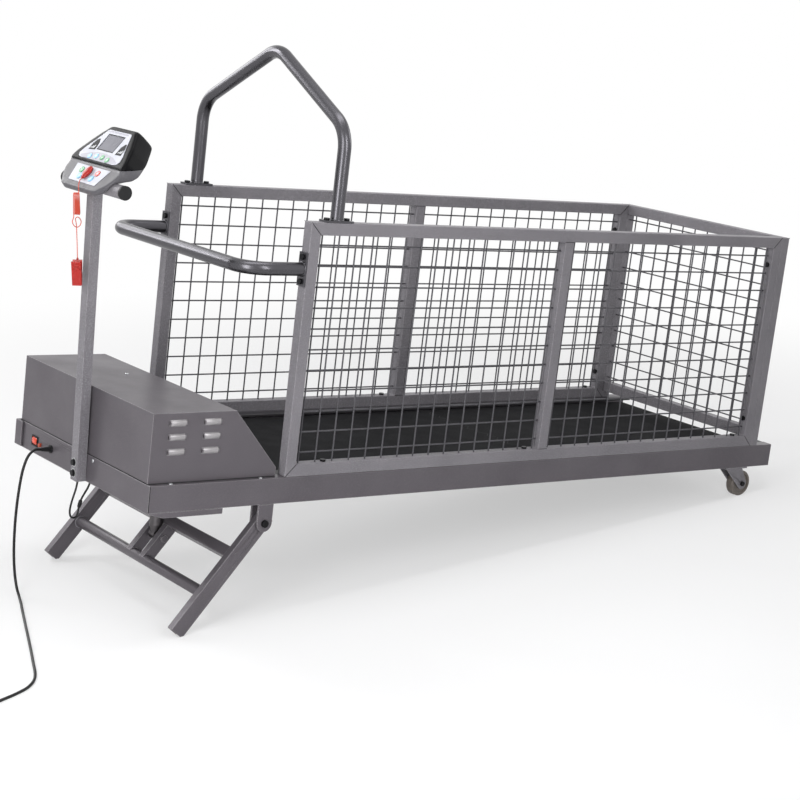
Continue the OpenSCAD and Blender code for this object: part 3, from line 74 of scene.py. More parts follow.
WELD_M = 1e-5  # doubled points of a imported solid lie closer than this, in metres
WELD_MM = 1e-4  # the same for a mesh in work, in millimetres
CUT_MM = 1e-5  # points nearer to a cutting plane than this lie on it
DOUBLE_MM = 0.05  # points of a path nearer to each other than this are one
WHITE = (1.0, 1.0, 1.0, 1.0)
NOISE_SPAN = (0.3, 0.7)  # where most values of a noise lie
Pair = tuple[float, float]
Triple = tuple[float, float, float]
Colour = tuple[float, float, float, float]
Span = tuple[float, float, float, float]  # lowest and highest value read, lowest and highest given
Row = Sequence[float]
Rows = Sequence[Row]
Points = list[Vector]
Edges = list[bmesh.types.BMEdge]
Tree = bpy.types.NodeTree
Node = bpy.types.Node
Socket = bpy.types.NodeSocket
Inputs = dict[Any, Any] | Sequence[Any]
Piece = bpy.types.Object


class Body(Enum):
    """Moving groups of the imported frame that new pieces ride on."""

    CHASSIS = "chassis"
    LEGS = "leg_frame"
    SAFETY = "key_and_lanyard"
    JAW = "clip_jaw"
    UPPER_1 = "upper_key_1"
    UPPER_2 = "upper_key_2"
    UPPER_3 = "upper_key_3"
    UPPER_4 = "upper_key_4"
    START = "start_key"
    STOP = "stop_key"
    SLOWER = "slower_key"
    FASTER = "faster_key"


# Frames of reference


@dataclass(frozen=True)
class DeckFrame:
    """The sloping deck: lengths in millimetres from its front edge, middle and rail tops."""

    incline_deg: float = 6.75887
    lift: float = 385.737
    shift: float = 1026.80

    def aim(self, x: float, y: float, z: float) -> Vector:
        """Turns a direction on the deck into one in the room.

        Args:
            x, y, z: the direction along, across and square to the deck.

        Returns:
            The same direction in the room.
        """
        tilt = math.radians(self.incline_deg)
        return Vector((x * math.cos(tilt) + z * math.sin(tilt), y, z * math.cos(tilt) - x * math.sin(tilt)))

    def at(self, x: float, y: float, z: float) -> Vector:
        """Turns a place on the deck into one in the room.

        Args:
            x, y, z: millimetres along, across and above the deck.

        Returns:
            The place in metres.
        """
        return (self.aim(x, y, z) + Vector((-self.shift, 0, self.lift))) * MM

    def mm(self, x: float, y: float, z: float) -> Vector:
        """Turns a place on the deck into one in the room, both in millimetres."""
        return self.at(x, y, z) / MM

    def matrix(self) -> Matrix:
        """Matrix from deck millimetres to room metres."""
        turn = Matrix((self.aim(1, 0, 0), self.aim(0, 1, 0), self.aim(0, 0, 1))).transposed().to_4x4()
        return Matrix.Translation(self.at(0, 0, 0)) @ turn @ Matrix.Scale(MM, 4)


@dataclass(frozen=True)
class FaceFrame:
    """The console's face: millimetres to the near side, up the face and out of it."""

    centre: Triple = (-936.369, -10.0, 1113.13)
    out: Triple = (-0.686341, 0.0, 0.72728)

    def matrix(self) -> Matrix:
        """Places the face in the room.

        Returns:
            The matrix from face millimetres to room metres.
        """
        out = Vector(self.out).normalized()
        side = Vector((0, -1, 0))
        turn = Matrix((side, out.cross(side), out)).transposed().to_4x4()
        return Matrix.Translation(Vector(self.centre) * MM) @ turn @ Matrix.Scale(MM, 4)


DECK = DeckFrame()
FACE = FaceFrame()
ALONG = Matrix.Rotation(math.radians(90), 4, "Y")  # turns a rod to run along X
AHEAD = Matrix.Rotation(math.radians(-90), 4, "Y")  # turns it to run against X


# Finishes


def linear(code: str) -> Colour:
    """Turns an sRGB hex colour into linear light.

    Args:
        code: a colour such as "#5d5b61".

    Returns:
        Red, green, blue and an alpha of one.
    """
    parts = [int(code[i:i + 2], 16) / 255 for i in (1, 3, 5)]
    red, green, blue = (p / 12.92 if p <= 0.04045 else ((p + 0.055) / 1.055) ** 2.4 for p in parts)
    return red, green, blue, 1.0


def feed(tree: Tree, node: Node, inputs: Inputs) -> None:
    """Sets and links a node's inputs.

    Args:
        tree: the node tree.
        node: the node.
        inputs: values, sockets, or nodes whose first output in use is linked. They go by name or index,
            or in the node's own order.
    """
    for key, value in inputs.items() if isinstance(inputs, dict) else enumerate(inputs):
        if isinstance(value, Node):
            value = next(out for out in value.outputs if out.enabled)
        if isinstance(value, Socket):
            tree.links.new(value, node.inputs[key])
        else:
            node.inputs[key].default_value = value


def add(tree: Tree, kind: str, inputs: Inputs = (), **settings: Any) -> Node:
    """Adds a shader node with its settings, values and links.

    Args:
        tree: the node tree.
        kind: the node's type, without its prefix.
        inputs: what it is fed.
        settings: properties of the node.

    Returns:
        The new node.
    """
    made = tree.nodes.new("ShaderNode" + kind)
    for name, value in settings.items():
        setattr(made, name, value)
    feed(tree, made, inputs)
    return made


def per(size_mm: float) -> float:
    """Texture scale at which a feature is that many millimetres wide."""
    return 1 / (size_mm * MM)


@dataclass(frozen=True)
class Finish:
    """A surface finish, made once as a node material."""

    name: str

    def wire(self, tree: Tree, shader: Node, place: Socket) -> None:
        """Adds this finish's nodes.

        Args:
            tree: the material's node tree.
            shader: its main shader.
            place: object coordinates.
        """
        raise NotImplementedError

    def material(self) -> bpy.types.Material:
        """Makes the material at its first use.

        Returns:
            The material.
        """
        found = bpy.data.materials.get(self.name)
        if found:
            return found
        made = bpy.data.materials.new(self.name)
        made.use_nodes = True
        tree = made.node_tree
        self.wire(tree, tree.nodes["Principled BSDF"], add(tree, "TexCoord").outputs["Object"])
        return made


@dataclass(frozen=True)
class PowderCoat(Finish):
    """Baked powder coat with metal pigment: bright flecks, soft clouding, and edges lightened, partly as
    rubbed coat and partly as painted highlight.

    The real grain is about 0.8 mm; it is drawn coarser so that it shows from a few metres.
    """

    base: str
    dark: str
    fleck: str
    # worn: colour of the lightened edges, partly rubbed coat and partly painted highlight
    worn: str = "#a8a6aa"
    grain_mm: float = 2.6
    relief_mm: float = 0.12
    rough: float = 0.42
    metal: float = 0.1
    shine: float = 0.2
    speckle: float = 0.8
    edge_mm: float = 2.2
    cloud_mm: float = 140.0
    cell_share: float = 1.6
    edge_span: Pair = (0.99, 0.86)
    patch_span: Span = (0.36, 0.6, 0.2, 0.75)
    fleck_span: Pair = (0.5, 0.68)
    cloud_share: float = 0.6
    uneven: Pair = (-0.05, 0.07)

    def rubbed_and_highlit_edges(self, tree: Tree, grain: Node) -> Node:
        """Share of lightened coat along edges, partly rubbed coat and partly painted highlight: high where
        the rounded normal leaves the face's own.

        Args:
            tree: the material's node tree.
            grain: the coat's grain, which breaks the rubbing up.

        Returns:
            The node that holds the share.
        """
        rounded = add(tree, "Bevel", {"Radius": self.edge_mm * MM}, samples=4)
        face = add(tree, "NewGeometry").outputs["Normal"]
        bend = add(tree, "VectorMath", (rounded, face), operation="DOT_PRODUCT")
        edge = add(tree, "MapRange", (bend, *self.edge_span))
        patchy = add(tree, "MapRange", (grain, *self.patch_span))
        return add(tree, "Math", (edge, patchy), operation="MULTIPLY")

    def wire(self, tree: Tree, shader: Node, place: Socket) -> None:
        """Adds grain, flecks, clouding, wear and relief.

        Args:
            tree: the material's node tree.
            shader: its main shader.
            place: object coordinates.
        """
        grain = add(tree, "TexNoise", {"Vector": place, "Scale": per(self.grain_mm), "Detail": 3.0})
        cell_mm = self.cell_share * self.grain_mm
        cells = add(tree, "TexVoronoi", {"Vector": place, "Scale": per(cell_mm)}, feature="SMOOTH_F1")
        cloud = add(tree, "TexNoise", {"Vector": place, "Scale": per(self.cloud_mm), "Detail": 5.0})
        shade = add(tree, "MapRange", (cloud, *NOISE_SPAN, 0.0, self.cloud_share))
        glint = add(tree, "MapRange", (grain, *self.fleck_span, 0.0, self.speckle))
        body = add(tree, "Mix", {0: shade, 6: linear(self.base), 7: linear(self.dark)}, data_type="RGBA")
        flecked = add(tree, "Mix", {0: glint, 6: body, 7: linear(self.fleck)}, data_type="RGBA")
        # edges lightened toward the worn colour: partly rubbed coat, partly painted highlight
        tint = add(tree, "Mix", {0: self.rubbed_and_highlit_edges(tree, grain), 6: flecked, 7: linear(self.worn)},
                   data_type="RGBA")
        gloss = add(tree, "MapRange", (cloud, *NOISE_SPAN, *(self.rough + u for u in self.uneven)))
        height = add(tree, "Math", (grain, cells), operation="ADD")
        bump = add(tree, "Bump", {"Height": height, "Strength": 0.6, "Distance": self.relief_mm * MM})
        feed(tree, shader, {"Base Color": tint, "Roughness": gloss, "Normal": bump, "Metallic": self.metal,
                            "Specular IOR Level": self.shine})


@dataclass(frozen=True)
class Moulding(Finish):
    """Moulded plastic or cast rubber: fine spark-eroded grain and faint flow clouding."""

    base: str
    worn: str
    rough: float = 0.45
    grain_mm: float = 0.9
    relief_mm: float = 0.05
    coat: float = 0.0
    shine: float = 0.4
    coat_rough: float = 0.1
    cloud_mm: float = 35.0
    cloud_span: Span = (0.35, 0.75, 0.0, 0.5)
    uneven: Pair = (-0.06, 0.08)

    def wire(self, tree: Tree, shader: Node, place: Socket) -> None:
        """Adds grain, clouding and uneven gloss.

        Args:
            tree: the material's node tree.
            shader: its main shader.
            place: object coordinates.
        """
        grain = add(tree, "TexNoise", {"Vector": place, "Scale": per(self.grain_mm), "Detail": 2.0})
        cloud = add(tree, "TexNoise", {"Vector": place, "Scale": per(self.cloud_mm), "Detail": 6.0})
        share = add(tree, "MapRange", (cloud, *self.cloud_span))
        tint = add(tree, "Mix", {0: share, 6: linear(self.base), 7: linear(self.worn)}, data_type="RGBA")
        gloss = add(tree, "MapRange", (cloud, *NOISE_SPAN, *(self.rough + u for u in self.uneven)))
        bump = add(tree, "Bump", {"Height": grain, "Strength": 0.5, "Distance": self.relief_mm * MM})
        feed(tree, shader, {"Base Color": tint, "Roughness": gloss, "Normal": bump, "Coat Weight": self.coat,
                            "Coat Roughness": self.coat_rough, "Specular IOR Level": self.shine})


@dataclass(frozen=True)
class Metal(Finish):
    """Bare, plated or blackened steel and drawn aluminium: tool lines and a little staining."""

    base: str
    stain: str
    rough: float = 0.32
    line_mm: float = 0.7
    spot_mm: float = 14.0
    spot_span: Span = (0.45, 0.75, 0.0, 0.7)
    uneven: Pair = (-0.08, 0.12)
    relief_mm: float = 0.03
    along: Triple = (1.0, 0.05, 1.0)

    def wire(self, tree: Tree, shader: Node, place: Socket) -> None:
        """Adds tool lines that run round the piece, and staining.

        Args:
            tree: the material's node tree.
            shader: its main shader.
            place: object coordinates.
        """
        drawn = add(tree, "Mapping", {"Vector": place, "Scale": self.along})
        lines = add(tree, "TexNoise", {"Vector": drawn, "Scale": per(self.line_mm), "Detail": 3.0})
        spots = add(tree, "TexNoise", {"Vector": place, "Scale": per(self.spot_mm), "Detail": 5.0})
        share = add(tree, "MapRange", (spots, *self.spot_span))
        tint = add(tree, "Mix", {0: share, 6: linear(self.base), 7: linear(self.stain)}, data_type="RGBA")
        gloss = add(tree, "MapRange", (lines, *NOISE_SPAN, *(self.rough + u for u in self.uneven)))
        bump = add(tree, "Bump", {"Height": lines, "Strength": 0.3, "Distance": self.relief_mm * MM})
        feed(tree, shader, {"Base Color": tint, "Roughness": gloss, "Normal": bump, "Metallic": 1.0})


@dataclass(frozen=True)
class BeltCover(Finish):
    """Black walking belt: PVC with a small pressed diamond and dust in its hollows.

    The real diamond is about 2 mm; it is drawn at 5 mm so that it shows.
    """

    base: str = "#101012"
    dust: str = "#1f1f21"
    diamond_mm: float = 5.0
    dust_mm: float = 60.0
    dust_span: Span = (0.4, 0.75, 0.0, 0.8)
    ridges_deg: Pair = (45.0, -45.0)
    relief_mm: float = 0.4

    def wire(self, tree: Tree, shader: Node, place: Socket) -> None:
        """Adds the diamond, crossed from two sets of ridges, and dust.

        Args:
            tree: the material's node tree.
            shader: its main shader.
            place: object coordinates.
        """
        ridges = []
        for turn in self.ridges_deg:
            turned = add(tree, "Mapping", {"Vector": place, "Rotation": (0, 0, math.radians(turn))})
            wave = add(tree, "TexWave", {"Vector": turned, "Scale": per(self.diamond_mm) / math.tau,
                                         "Distortion": 0.0}, bands_direction="X")
            ridges.append(wave.outputs["Fac"])
        both = add(tree, "Math", ridges, operation="MULTIPLY")
        dirt = add(tree, "TexNoise", {"Vector": place, "Scale": per(self.dust_mm), "Detail": 6.0})
        share = add(tree, "MapRange", (dirt, *self.dust_span))
        tint = add(tree, "Mix", {0: share, 6: linear(self.base), 7: linear(self.dust)}, data_type="RGBA")
        bump = add(tree, "Bump", {"Height": both, "Strength": 0.5, "Distance": self.relief_mm * MM})
        feed(tree, shader, {"Base Color": tint, "Roughness": 0.75, "Normal": bump,
                            "Specular IOR Level": 0.06})


@dataclass(frozen=True)
class TwistedCord(Finish):
    """Twisted polyester cord: strands that wind round it, with painted highlight on their crowns and painted
    shade between them.
    """

    base: str = "#a3270f"
    crown_highlight: str = "#e5583a"
    strand_mm: float = 1.6
    slant: Triple = (0.7, 0.5, 0.3)
    relief_mm: float = 0.2

    def wire(self, tree: Tree, shader: Node, place: Socket) -> None:
        """Adds slanting strands with painted highlight and shade, and a fibre sheen.

        Args:
            tree: the material's node tree.
            shader: its main shader.
            place: object coordinates.
        """
        turned = add(tree, "Mapping", {"Vector": place, "Rotation": self.slant})
        wave = add(tree, "TexWave", {"Vector": turned, "Scale": per(self.strand_mm) / math.tau,
                                     "Distortion": 1.0, "Detail": 2.0}).outputs["Fac"]
        # painted light: the strands' crowns lighter, the grooves between them darker
        tint = add(tree, "Mix", {0: wave, 6: linear(self.base), 7: linear(self.crown_highlight)}, data_type="RGBA")
        bump = add(tree, "Bump", {"Height": wave, "Strength": 0.7, "Distance": self.relief_mm * MM})
        feed(tree, shader, {"Base Color": tint, "Roughness": 0.7, "Normal": bump, "Sheen Weight": 0.3})


@dataclass(frozen=True)
class DeckBoard(Finish):
    """Coated fibreboard: long fine streaks under a brown-grey film."""

    base: str = "#4b4038"
    streak: str = "#352d27"
    fibre_mm: float = 3.0
    along: Triple = (0.04, 1.0, 1.0)
    relief_mm: float = 0.1

    def wire(self, tree: Tree, shader: Node, place: Socket) -> None:
        """Adds streaks along the board.

        Args:
            tree: the material's node tree.
            shader: its main shader.
            place: object coordinates.
        """
        drawn = add(tree, "Mapping", {"Vector": place, "Scale": self.along})
        fibre = add(tree, "TexNoise", {"Vector": drawn, "Scale": per(self.fibre_mm), "Detail": 5.0})
        tint = add(tree, "Mix", {0: fibre, 6: linear(self.base), 7: linear(self.streak)}, data_type="RGBA")
        bump = add(tree, "Bump", {"Height": fibre, "Strength": 0.2, "Distance": self.relief_mm * MM})
        feed(tree, shader, {"Base Color": tint, "Roughness": 0.5, "Normal": bump})


# Wrinkled coat on the welded frame: grey with silver flecks and dark pits
FRAME_COAT = PowderCoat("hammer_powder_coat", "#7d7a7f", "#68666b", "#a3a1a5", worn="#bebcbf", grain_mm=1.7,
                        relief_mm=0.1)
# Finer coat on bent sheet: an even warm grey with a soft sheen
SHEET_COAT = PowderCoat("satin_powder_coat", "#635f64", "#555156", "#747074", worn="#bdb9bc", grain_mm=1.5,
                        relief_mm=0.05, rough=0.36, metal=0.3, speckle=0.5, edge_mm=2.6)
# Painted highlight: the sheet's coat made paler over the pressed louvres, standing in for the light that
# their upturned faces catch
VENT_PAINTED_HIGHLIGHT = PowderCoat("louvre_coat_painted_highlight", "#a09d9f", "#8d8a8d", "#b6b3b5", worn="#c9c7c9", grain_mm=1.9,
                       relief_mm=0.05, rough=0.34, metal=0.35, speckle=0.5, edge_mm=1.0)
# Smooth gunmetal coat over bent tube: metal enough for a long bright streak
TUBE_COAT = PowderCoat("gunmetal_tube_coat", "#58575b", "#4d4c50", "#666569", worn="#7a797d", grain_mm=1.5,
                       relief_mm=0.006, rough=0.28, metal=0.9, speckle=0.25, edge_mm=1.0)
# Dip coat on thin wire: dark, even and a little shiny
WIRE_COAT = PowderCoat("dipped_wire_coat", "#565559", "#49484c", "#69686c", grain_mm=1.6, relief_mm=0.04,
                       rough=0.38, metal=0.3, speckle=0.5, edge_mm=0.0)
# Painted shade: the foot strips' coat darkened to stand in for the cage's shade over them
STRIP_COAT_PAINTED_SHADE = PowderCoat("strip_coat_painted_shade", "#39383b", "#2f2e31", "#4a494c", worn="#6a696c", grain_mm=1.7,
                        relief_mm=0.08, rough=0.45, speckle=0.5)
# Oxide bath on bolts: near black with brown in the hollows
BLACK_STEEL = Metal("black_oxide_steel", "#2a2a2c", "#1a1918", rough=0.4)
# Zinc plate: pale, a little yellow where it has stained
BRIGHT_STEEL = Metal("zinc_plated_steel", "#b9bbbd", "#96938c", rough=0.28)
# Turned steel: fine rings and a cold shine
TURNED_STEEL = Metal("turned_steel", "#a5a7aa", "#84827e", rough=0.3)
# Anodised tube: dark brown-grey, drawn lengthwise
DRAWN_ALLOY = Metal("dark_anodised_aluminium", "#5f5c5e", "#4c494b", rough=0.38, along=(1.0, 1.0, 0.05))
# Satin black paint over castings: even black with grey edges, partly worn and partly painted highlight
MOTOR_COAT = PowderCoat("satin_black_paint", "#232326", "#19191b", "#333336", worn="#5a5a5c",
                        relief_mm=0.04)
# Injection-moulded caps and housings: dull black with a fine grain
BLACK_PLASTIC = Moulding("black_polypropylene", "#151517", "#232325", rough=0.5, shine=0.25)
# Console cover: black with a soft moulded sheen
COVER_ABS = Moulding("black_console_abs", "#0d0d0f", "#171719", rough=0.34, relief_mm=0.03, shine=0.06)
# Console base: sprayed mid grey, shinier than the cover; its grey is partly the base's own tone and partly
# painted reflection
CHIN_ABS_PAINTED_SHEEN = Moulding("sprayed_grey_abs_painted_sheen", "#626165", "#525155", rough=0.3, relief_mm=0.02, shine=0.14)
# Solder mask over glass laminate: deep green with a soft shine
BOARD_RESIN = Moulding("green_board_resin", "#1f4a33", "#2b5a3f", rough=0.35)
# Cast nylon: grey-brown, scuffed paler
WHEEL_NYLON = Moulding("cast_wheel_nylon", "#6f6862", "#5a544f", rough=0.48)
# Soft cord jacket: black with a dull shine
CORD_SHEATH = Moulding("pvc_cord_sheath", "#111112", "#1c1c1e", rough=0.38, shine=0.3)
# Gap between two sheets: no light comes back out
SHADOW_GAP = Moulding("shadowed_joint", "#1b1a1c", "#262527", rough=0.7)
# Red plastic with a moulded shine
RED_PLASTIC = Moulding("red_moulded_abs", "#ad2620", "#931d18", rough=0.3, relief_mm=0.02, coat=0.1,
                       shine=0.25)
# Rocker: bright orange-red under a wet shine
ROCKER_RED = Moulding("orange_rocker_polycarbonate", "#dc4526", "#c63c20", rough=0.22, relief_mm=0.01,
                      coat=0.3)
# Button cap: a dull red-brown
RESET_RED = Moulding("red_brown_reset_cap", "#a9462f", "#8f3a27", rough=0.4)
# Printed film: silver ink under a matt skin
OVERLAY_FILM = Moulding("silver_overlay_film", "#bcbec9", "#adafba", rough=0.34, grain_mm=0.6, relief_mm=0.01)
# Darker silver ink in the band round the keys
BAND_INK = Moulding("printed_grey_ink", "#a3a2ae", "#9796a2", rough=0.36, grain_mm=0.6, relief_mm=0.01)
# Black ink: flat, with hardly a shine
INK_BLACK = Moulding("printed_black_ink", "#16171a", "#1f2023", rough=0.4, relief_mm=0.01, shine=0.06)
# White ink: flat and a little grey
INK_WHITE = Moulding("printed_white_ink", "#dfe0e4", "#d0d1d6", rough=0.4, relief_mm=0.01)
# Display window: grey liquid crystal behind a clear skin
SCREEN = Moulding("grey_display_window", "#74747d", "#66666f", rough=0.2, relief_mm=0.005, shine=0.08)
# Film keys, domed and shiny
KEY_BLUE = Moulding("blue_film_key", "#84c4ea", "#6fb3de", rough=0.3, relief_mm=0.01, coat=0.2)
KEY_GREEN = Moulding("green_film_key", "#2f9a55", "#268548", rough=0.3, relief_mm=0.01, coat=0.2)
KEY_RED = Moulding("red_film_key", "#d8493d", "#c23a30", rough=0.3, relief_mm=0.01, coat=0.2)
# Walking belt: a dull black with a fine diamond, greyed by dust
BELT = BeltCover("pressed_pvc_belt")
# Moulded rubber with a dull face
RIB_RUBBER = Moulding("ribbed_drive_rubber", "#1b1b1b", "#262626", rough=0.6)
# Cord: orange-red, with painted highlight on the crowns of its strands
LANYARD = TwistedCord("twisted_polyester_cord")
# Deck board: brown-grey with long streaks
BOARD = DeckBoard("coated_fibreboard")


# Shaping helpers


def only(kind: type, geom: Iterable[Any]) -> list[Any]:
    """Picks one kind of element out of a mesh operator's result."""
    return [g for g in geom if isinstance(g, kind)]


def linked(name: str, data: bpy.types.ID) -> Piece:
    """Makes an object of some data in the scene.

    Args:
        name: the object's name.
        data: a mesh, curve, lamp or camera.

    Returns:
        The new object.
    """
    made = bpy.data.objects.new(name, data)
    bpy.context.scene.collection.objects.link(made)
    return made


class Shape:
    """A mesh in work, in the millimetres of one frame, that becomes a finished piece."""

    def __init__(self) -> None:
        """Starts with nothing."""
        self.bm = bmesh.new()

    def move(self, verts: Iterable[bmesh.types.BMVert], matrix: Matrix) -> None:
        """Moves points by a matrix."""
        bmesh.ops.transform(self.bm, matrix=matrix, verts=list(verts))

    def box(self, size: Row, place: Matrix, bevel: float, segments: int = 2) -> None:
        """Adds a block with rounded edges.

        Args:
            size: its three lengths.
            place: its centre and turn.
            bevel: radius of the edges.
            segments: steps round an edge.
        """
        verts = bmesh.ops.create_cube(self.bm, size=1)["verts"]
        self.move(verts, place @ Matrix.Diagonal((*size, 1)))
        edges = list({e for v in verts for e in v.link_edges})
        bmesh.ops.bevel(self.bm, geom=edges, offset=bevel, affect="EDGES", segments=segments, profile=0.5,
                        material=-1)

    def rod(self, radii: Row, lengths: Row, place: Matrix, sides: int = 24) -> None:
        """Adds a turned shape along its Z axis, from a circle that is extruded in steps.

        Args:
            radii: radius at each step.
            lengths: height of each step from the start.
            place: its start and turn.
            sides: points round it.
        """
        ring = bmesh.ops.create_circle(self.bm, cap_ends=True, segments=sides, radius=radii[0])["verts"]
        self.move(ring, Matrix.Translation((0, 0, lengths[0])))
        first = bmesh.ops.duplicate(self.bm, geom=[ring[0].link_faces[0]])["geom"]
        top = only(bmesh.types.BMFace, first)[0]
        everything = [*ring, *top.verts]
        for before, radius, low, high in zip(radii, radii[1:], lengths, lengths[1:]):
            made = bmesh.ops.extrude_face_region(self.bm, geom=[top])["geom"]
            bmesh.ops.delete(self.bm, geom=[top], context="FACES_ONLY")
            verts = only(bmesh.types.BMVert, made)
            top = only(bmesh.types.BMFace, made)[0]
            grow = radius / before
            self.move(verts, Matrix.Translation((0, 0, high - low)) @ Matrix.Diagonal((grow, grow, 1, 1)))
            everything += verts
        bmesh.ops.remove_doubles(self.bm, verts=list(set(everything)), dist=WELD_MM)
        self.move([v for v in everything if v.is_valid], place)

    def plate(self, outline: Rows, low: float, high: float) -> None:
        """Adds a flat plate.

        Args:
            outline: its corners in the work's plane.
            low, high: its lower and upper face.
        """
        face = self.bm.faces.new([self.bm.verts.new((x, y, low)) for x, y in outline])
        made = bmesh.ops.extrude_face_region(self.bm, geom=[face])["geom"]
        self.move(only(bmesh.types.BMVert, made), Matrix.Translation((0, 0, high - low)))

    def keep(self, point: Row, normal: Row) -> None:
        """Cuts the work by a plane, keeps the side that the normal points to and closes the cut.

        Args:
            point: a place on the plane.
            normal: the plane's direction.
        """
        geom = [*self.bm.verts, *self.bm.edges, *self.bm.faces]
        cut = bmesh.ops.bisect_plane(self.bm, geom=geom, dist=CUT_MM, plane_co=point, plane_no=normal,
                                     clear_inner=True)["geom_cut"]
        bmesh.ops.triangle_fill(self.bm, edges=only(bmesh.types.BMEdge, cut), use_beauty=True)

    def twin(self, matrix: Matrix) -> None:
        """Adds a moved or mirrored copy of all the work.

        Args:
            matrix: how the copy is moved.
        """
        geom = [*self.bm.verts, *self.bm.edges, *self.bm.faces]
        made = bmesh.ops.duplicate(self.bm, geom=geom)["geom"]
        self.move(only(bmesh.types.BMVert, made), matrix)

    def piece(self, name: str, frame: Matrix, smooth_deg: float = 40) -> Piece:
        """Turns the work into an object at the origin.

        Args:
            name: the piece's name.
            frame: matrix from the work's frame to room metres.
            smooth_deg: edges sharper than this stay crisp.

        Returns:
            The new object.
        """
        bmesh.ops.recalc_face_normals(self.bm, faces=self.bm.faces)
        self.bm.transform(frame)
        mesh = bpy.data.meshes.new(name)
        self.bm.to_mesh(mesh)
        self.bm.free()
        mesh.shade_smooth()
        mesh.set_sharp_from_angle(angle=math.radians(smooth_deg))
        return linked(name, mesh)


def settle(piece: Piece, body: Body, slot: str, finish: Finish, *nodes: str) -> Piece:
    """Gives a piece its finish and body, and logs it.

    Args:
        piece: the new object.
        body: the body that it rides on.
        slot: the record's material slot; not used.
        finish: its finish.
        nodes: solids that it stands for.

    Returns:
        The same object.
    """
    piece.data.materials.clear()
    piece.data.materials.append(finish.material())
    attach(piece, body.value)
    if nodes:
        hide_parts(*nodes)
    LOG.info("piece %s rides on %s", piece.name, body.value)
    return piece


# Camera, light and floor


@dataclass(frozen=True)
class SoftBox:
    """A rectangular lamp: its place, what it points at and its sides in metres, and its watts."""

    name: str
    place: Triple
    target: Triple
    size: Pair
    power: float

    def build(self) -> None:
        """Hangs the lamp and points it."""
        data = bpy.data.lights.new(self.name, "AREA")
        data.shape = "RECTANGLE"
        data.size, data.size_y = self.size
        data.energy = self.power
        made = linked(self.name, data)
        made.location = self.place
        made.rotation_euler = (Vector(self.target) - Vector(self.place)).to_track_quat("-Z", "Y").to_euler()


@dataclass
class Studio:
    """Plain white studio with the photographed viewpoint."""

    lens_mm: float = 84.8
    sensor_mm: float = 36.0
    clip_m: float = 100.0
    eye: Triple = (-2165.0, -3860.7, 1097.1)
    forward: Triple = (0.6157, 0.7626, -0.1983)
    up: Triple = (0.0311, 0.2279, 0.9732)
    world_light: float = 0.2
    floor_tint: str = "#f7f7f8"
    floor_share: float = 0.5
    floor_m: float = 40.0
    fade_m: Pair = (1.4, 3.2)
    lamps: Sequence[SoftBox] = (
        SoftBox("key_box", (-2.65, -1.3, 1.25), (-0.6, -0.1, 0.6), (0.8, 2.2), 39),
        SoftBox("top_box", (-0.3, -0.3, 3.4), (-0.3, -0.29, 0.3), (3.0, 0.9), 37),
        SoftBox("side_box", (-0.45, -1.9, 1.5), (-0.45, 0, 0.75), (0.4, 1.2), 14),
        SoftBox("rear_box", (3.6, -0.8, 2.0), (0.6, 0, 0.5), (1.6, 1.6), 26),
        SoftBox("far_box", (-0.8, 3.8, 2.4), (-0.2, 0, 0.5), (1.8, 1.8), 36),
        SoftBox("rim_strip", (-2.0, 2.3, 2.35), (-0.7, 0, 0.8), (0.6, 1.6), 34))

    def camera(self) -> None:
        """Places the camera as fitted to the photographed edges, on the deck's own axes."""
        data = bpy.data.cameras.new("camera")
        data.lens = self.lens_mm
        data.sensor_width = self.sensor_mm
        data.clip_end = self.clip_m
        ahead = DECK.aim(*self.forward).normalized()
        side = ahead.cross(DECK.aim(*self.up)).normalized()
        turn = Matrix((side, side.cross(ahead), -ahead)).transposed().to_4x4()
        made = linked("camera", data)
        made.matrix_world = Matrix.Translation(DECK.at(*self.eye)) @ turn
        bpy.context.scene.camera = made

    def seen_white(self, tree: Tree) -> Node:
        """Share of rays that should meet plain white: camera, mirror and glass rays.

        Args:
            tree: a node tree.

        Returns:
            The node that holds the share.
        """
        rays = add(tree, "LightPath").outputs
        first = add(tree, "Math", (rays["Is Camera Ray"], rays["Is Glossy Ray"]), operation="MAXIMUM")
        return add(tree, "Math", (first, rays["Is Transmission Ray"]), operation="MAXIMUM")

    def world(self) -> None:
        """Lights the room evenly and shows white behind the object."""
        made = bpy.data.worlds.new("white_room")
        made.use_nodes = True
        tree = made.node_tree
        tree.nodes.clear()
        level = add(tree, "MapRange", (self.seen_white(tree), 0.0, 1.0, self.world_light, 1.0))
        back = add(tree, "Background", (WHITE, level))
        add(tree, "OutputWorld", {"Surface": back})
        bpy.context.scene.world = made

    def floor(self) -> None:
        """Adds a pale floor that keeps the object's shadow and fades to white far off."""
        shape = Shape()
        bmesh.ops.create_grid(shape.bm, x_segments=1, y_segments=1, size=self.floor_m / 2)
        made = shape.piece("floor", Matrix.Identity(4))
        look = bpy.data.materials.new("pale_floor")
        look.use_nodes = True
        tree = look.node_tree
        shader = tree.nodes["Principled BSDF"]
        feed(tree, shader, {"Base Color": linear(self.floor_tint), "Roughness": 0.8,
                            "Specular IOR Level": 0.1})
        place = add(tree, "TexCoord").outputs["Object"]
        reach = add(tree, "VectorMath", {0: place}, operation="LENGTH")
        fade = add(tree, "MapRange", (reach, *self.fade_m, self.floor_share), interpolation_type="SMOOTHSTEP")
        seen = add(tree, "Math", (fade, self.seen_white(tree)), operation="MULTIPLY")
        white = add(tree, "Emission", (WHITE, 1.0))
        both = add(tree, "MixShader", (seen, shader, white))
        feed(tree, tree.nodes["Material Output"], {"Surface": both})
        made.data.materials.append(look)

    def build(self) -> None:
        """Sets the camera, the room, the floor and the lamps."""
        bpy.context.scene.view_settings.view_transform = "Standard"
        self.camera()
        self.world()
        self.floor()
        for lamp in self.lamps:
            lamp.build()


# Cords


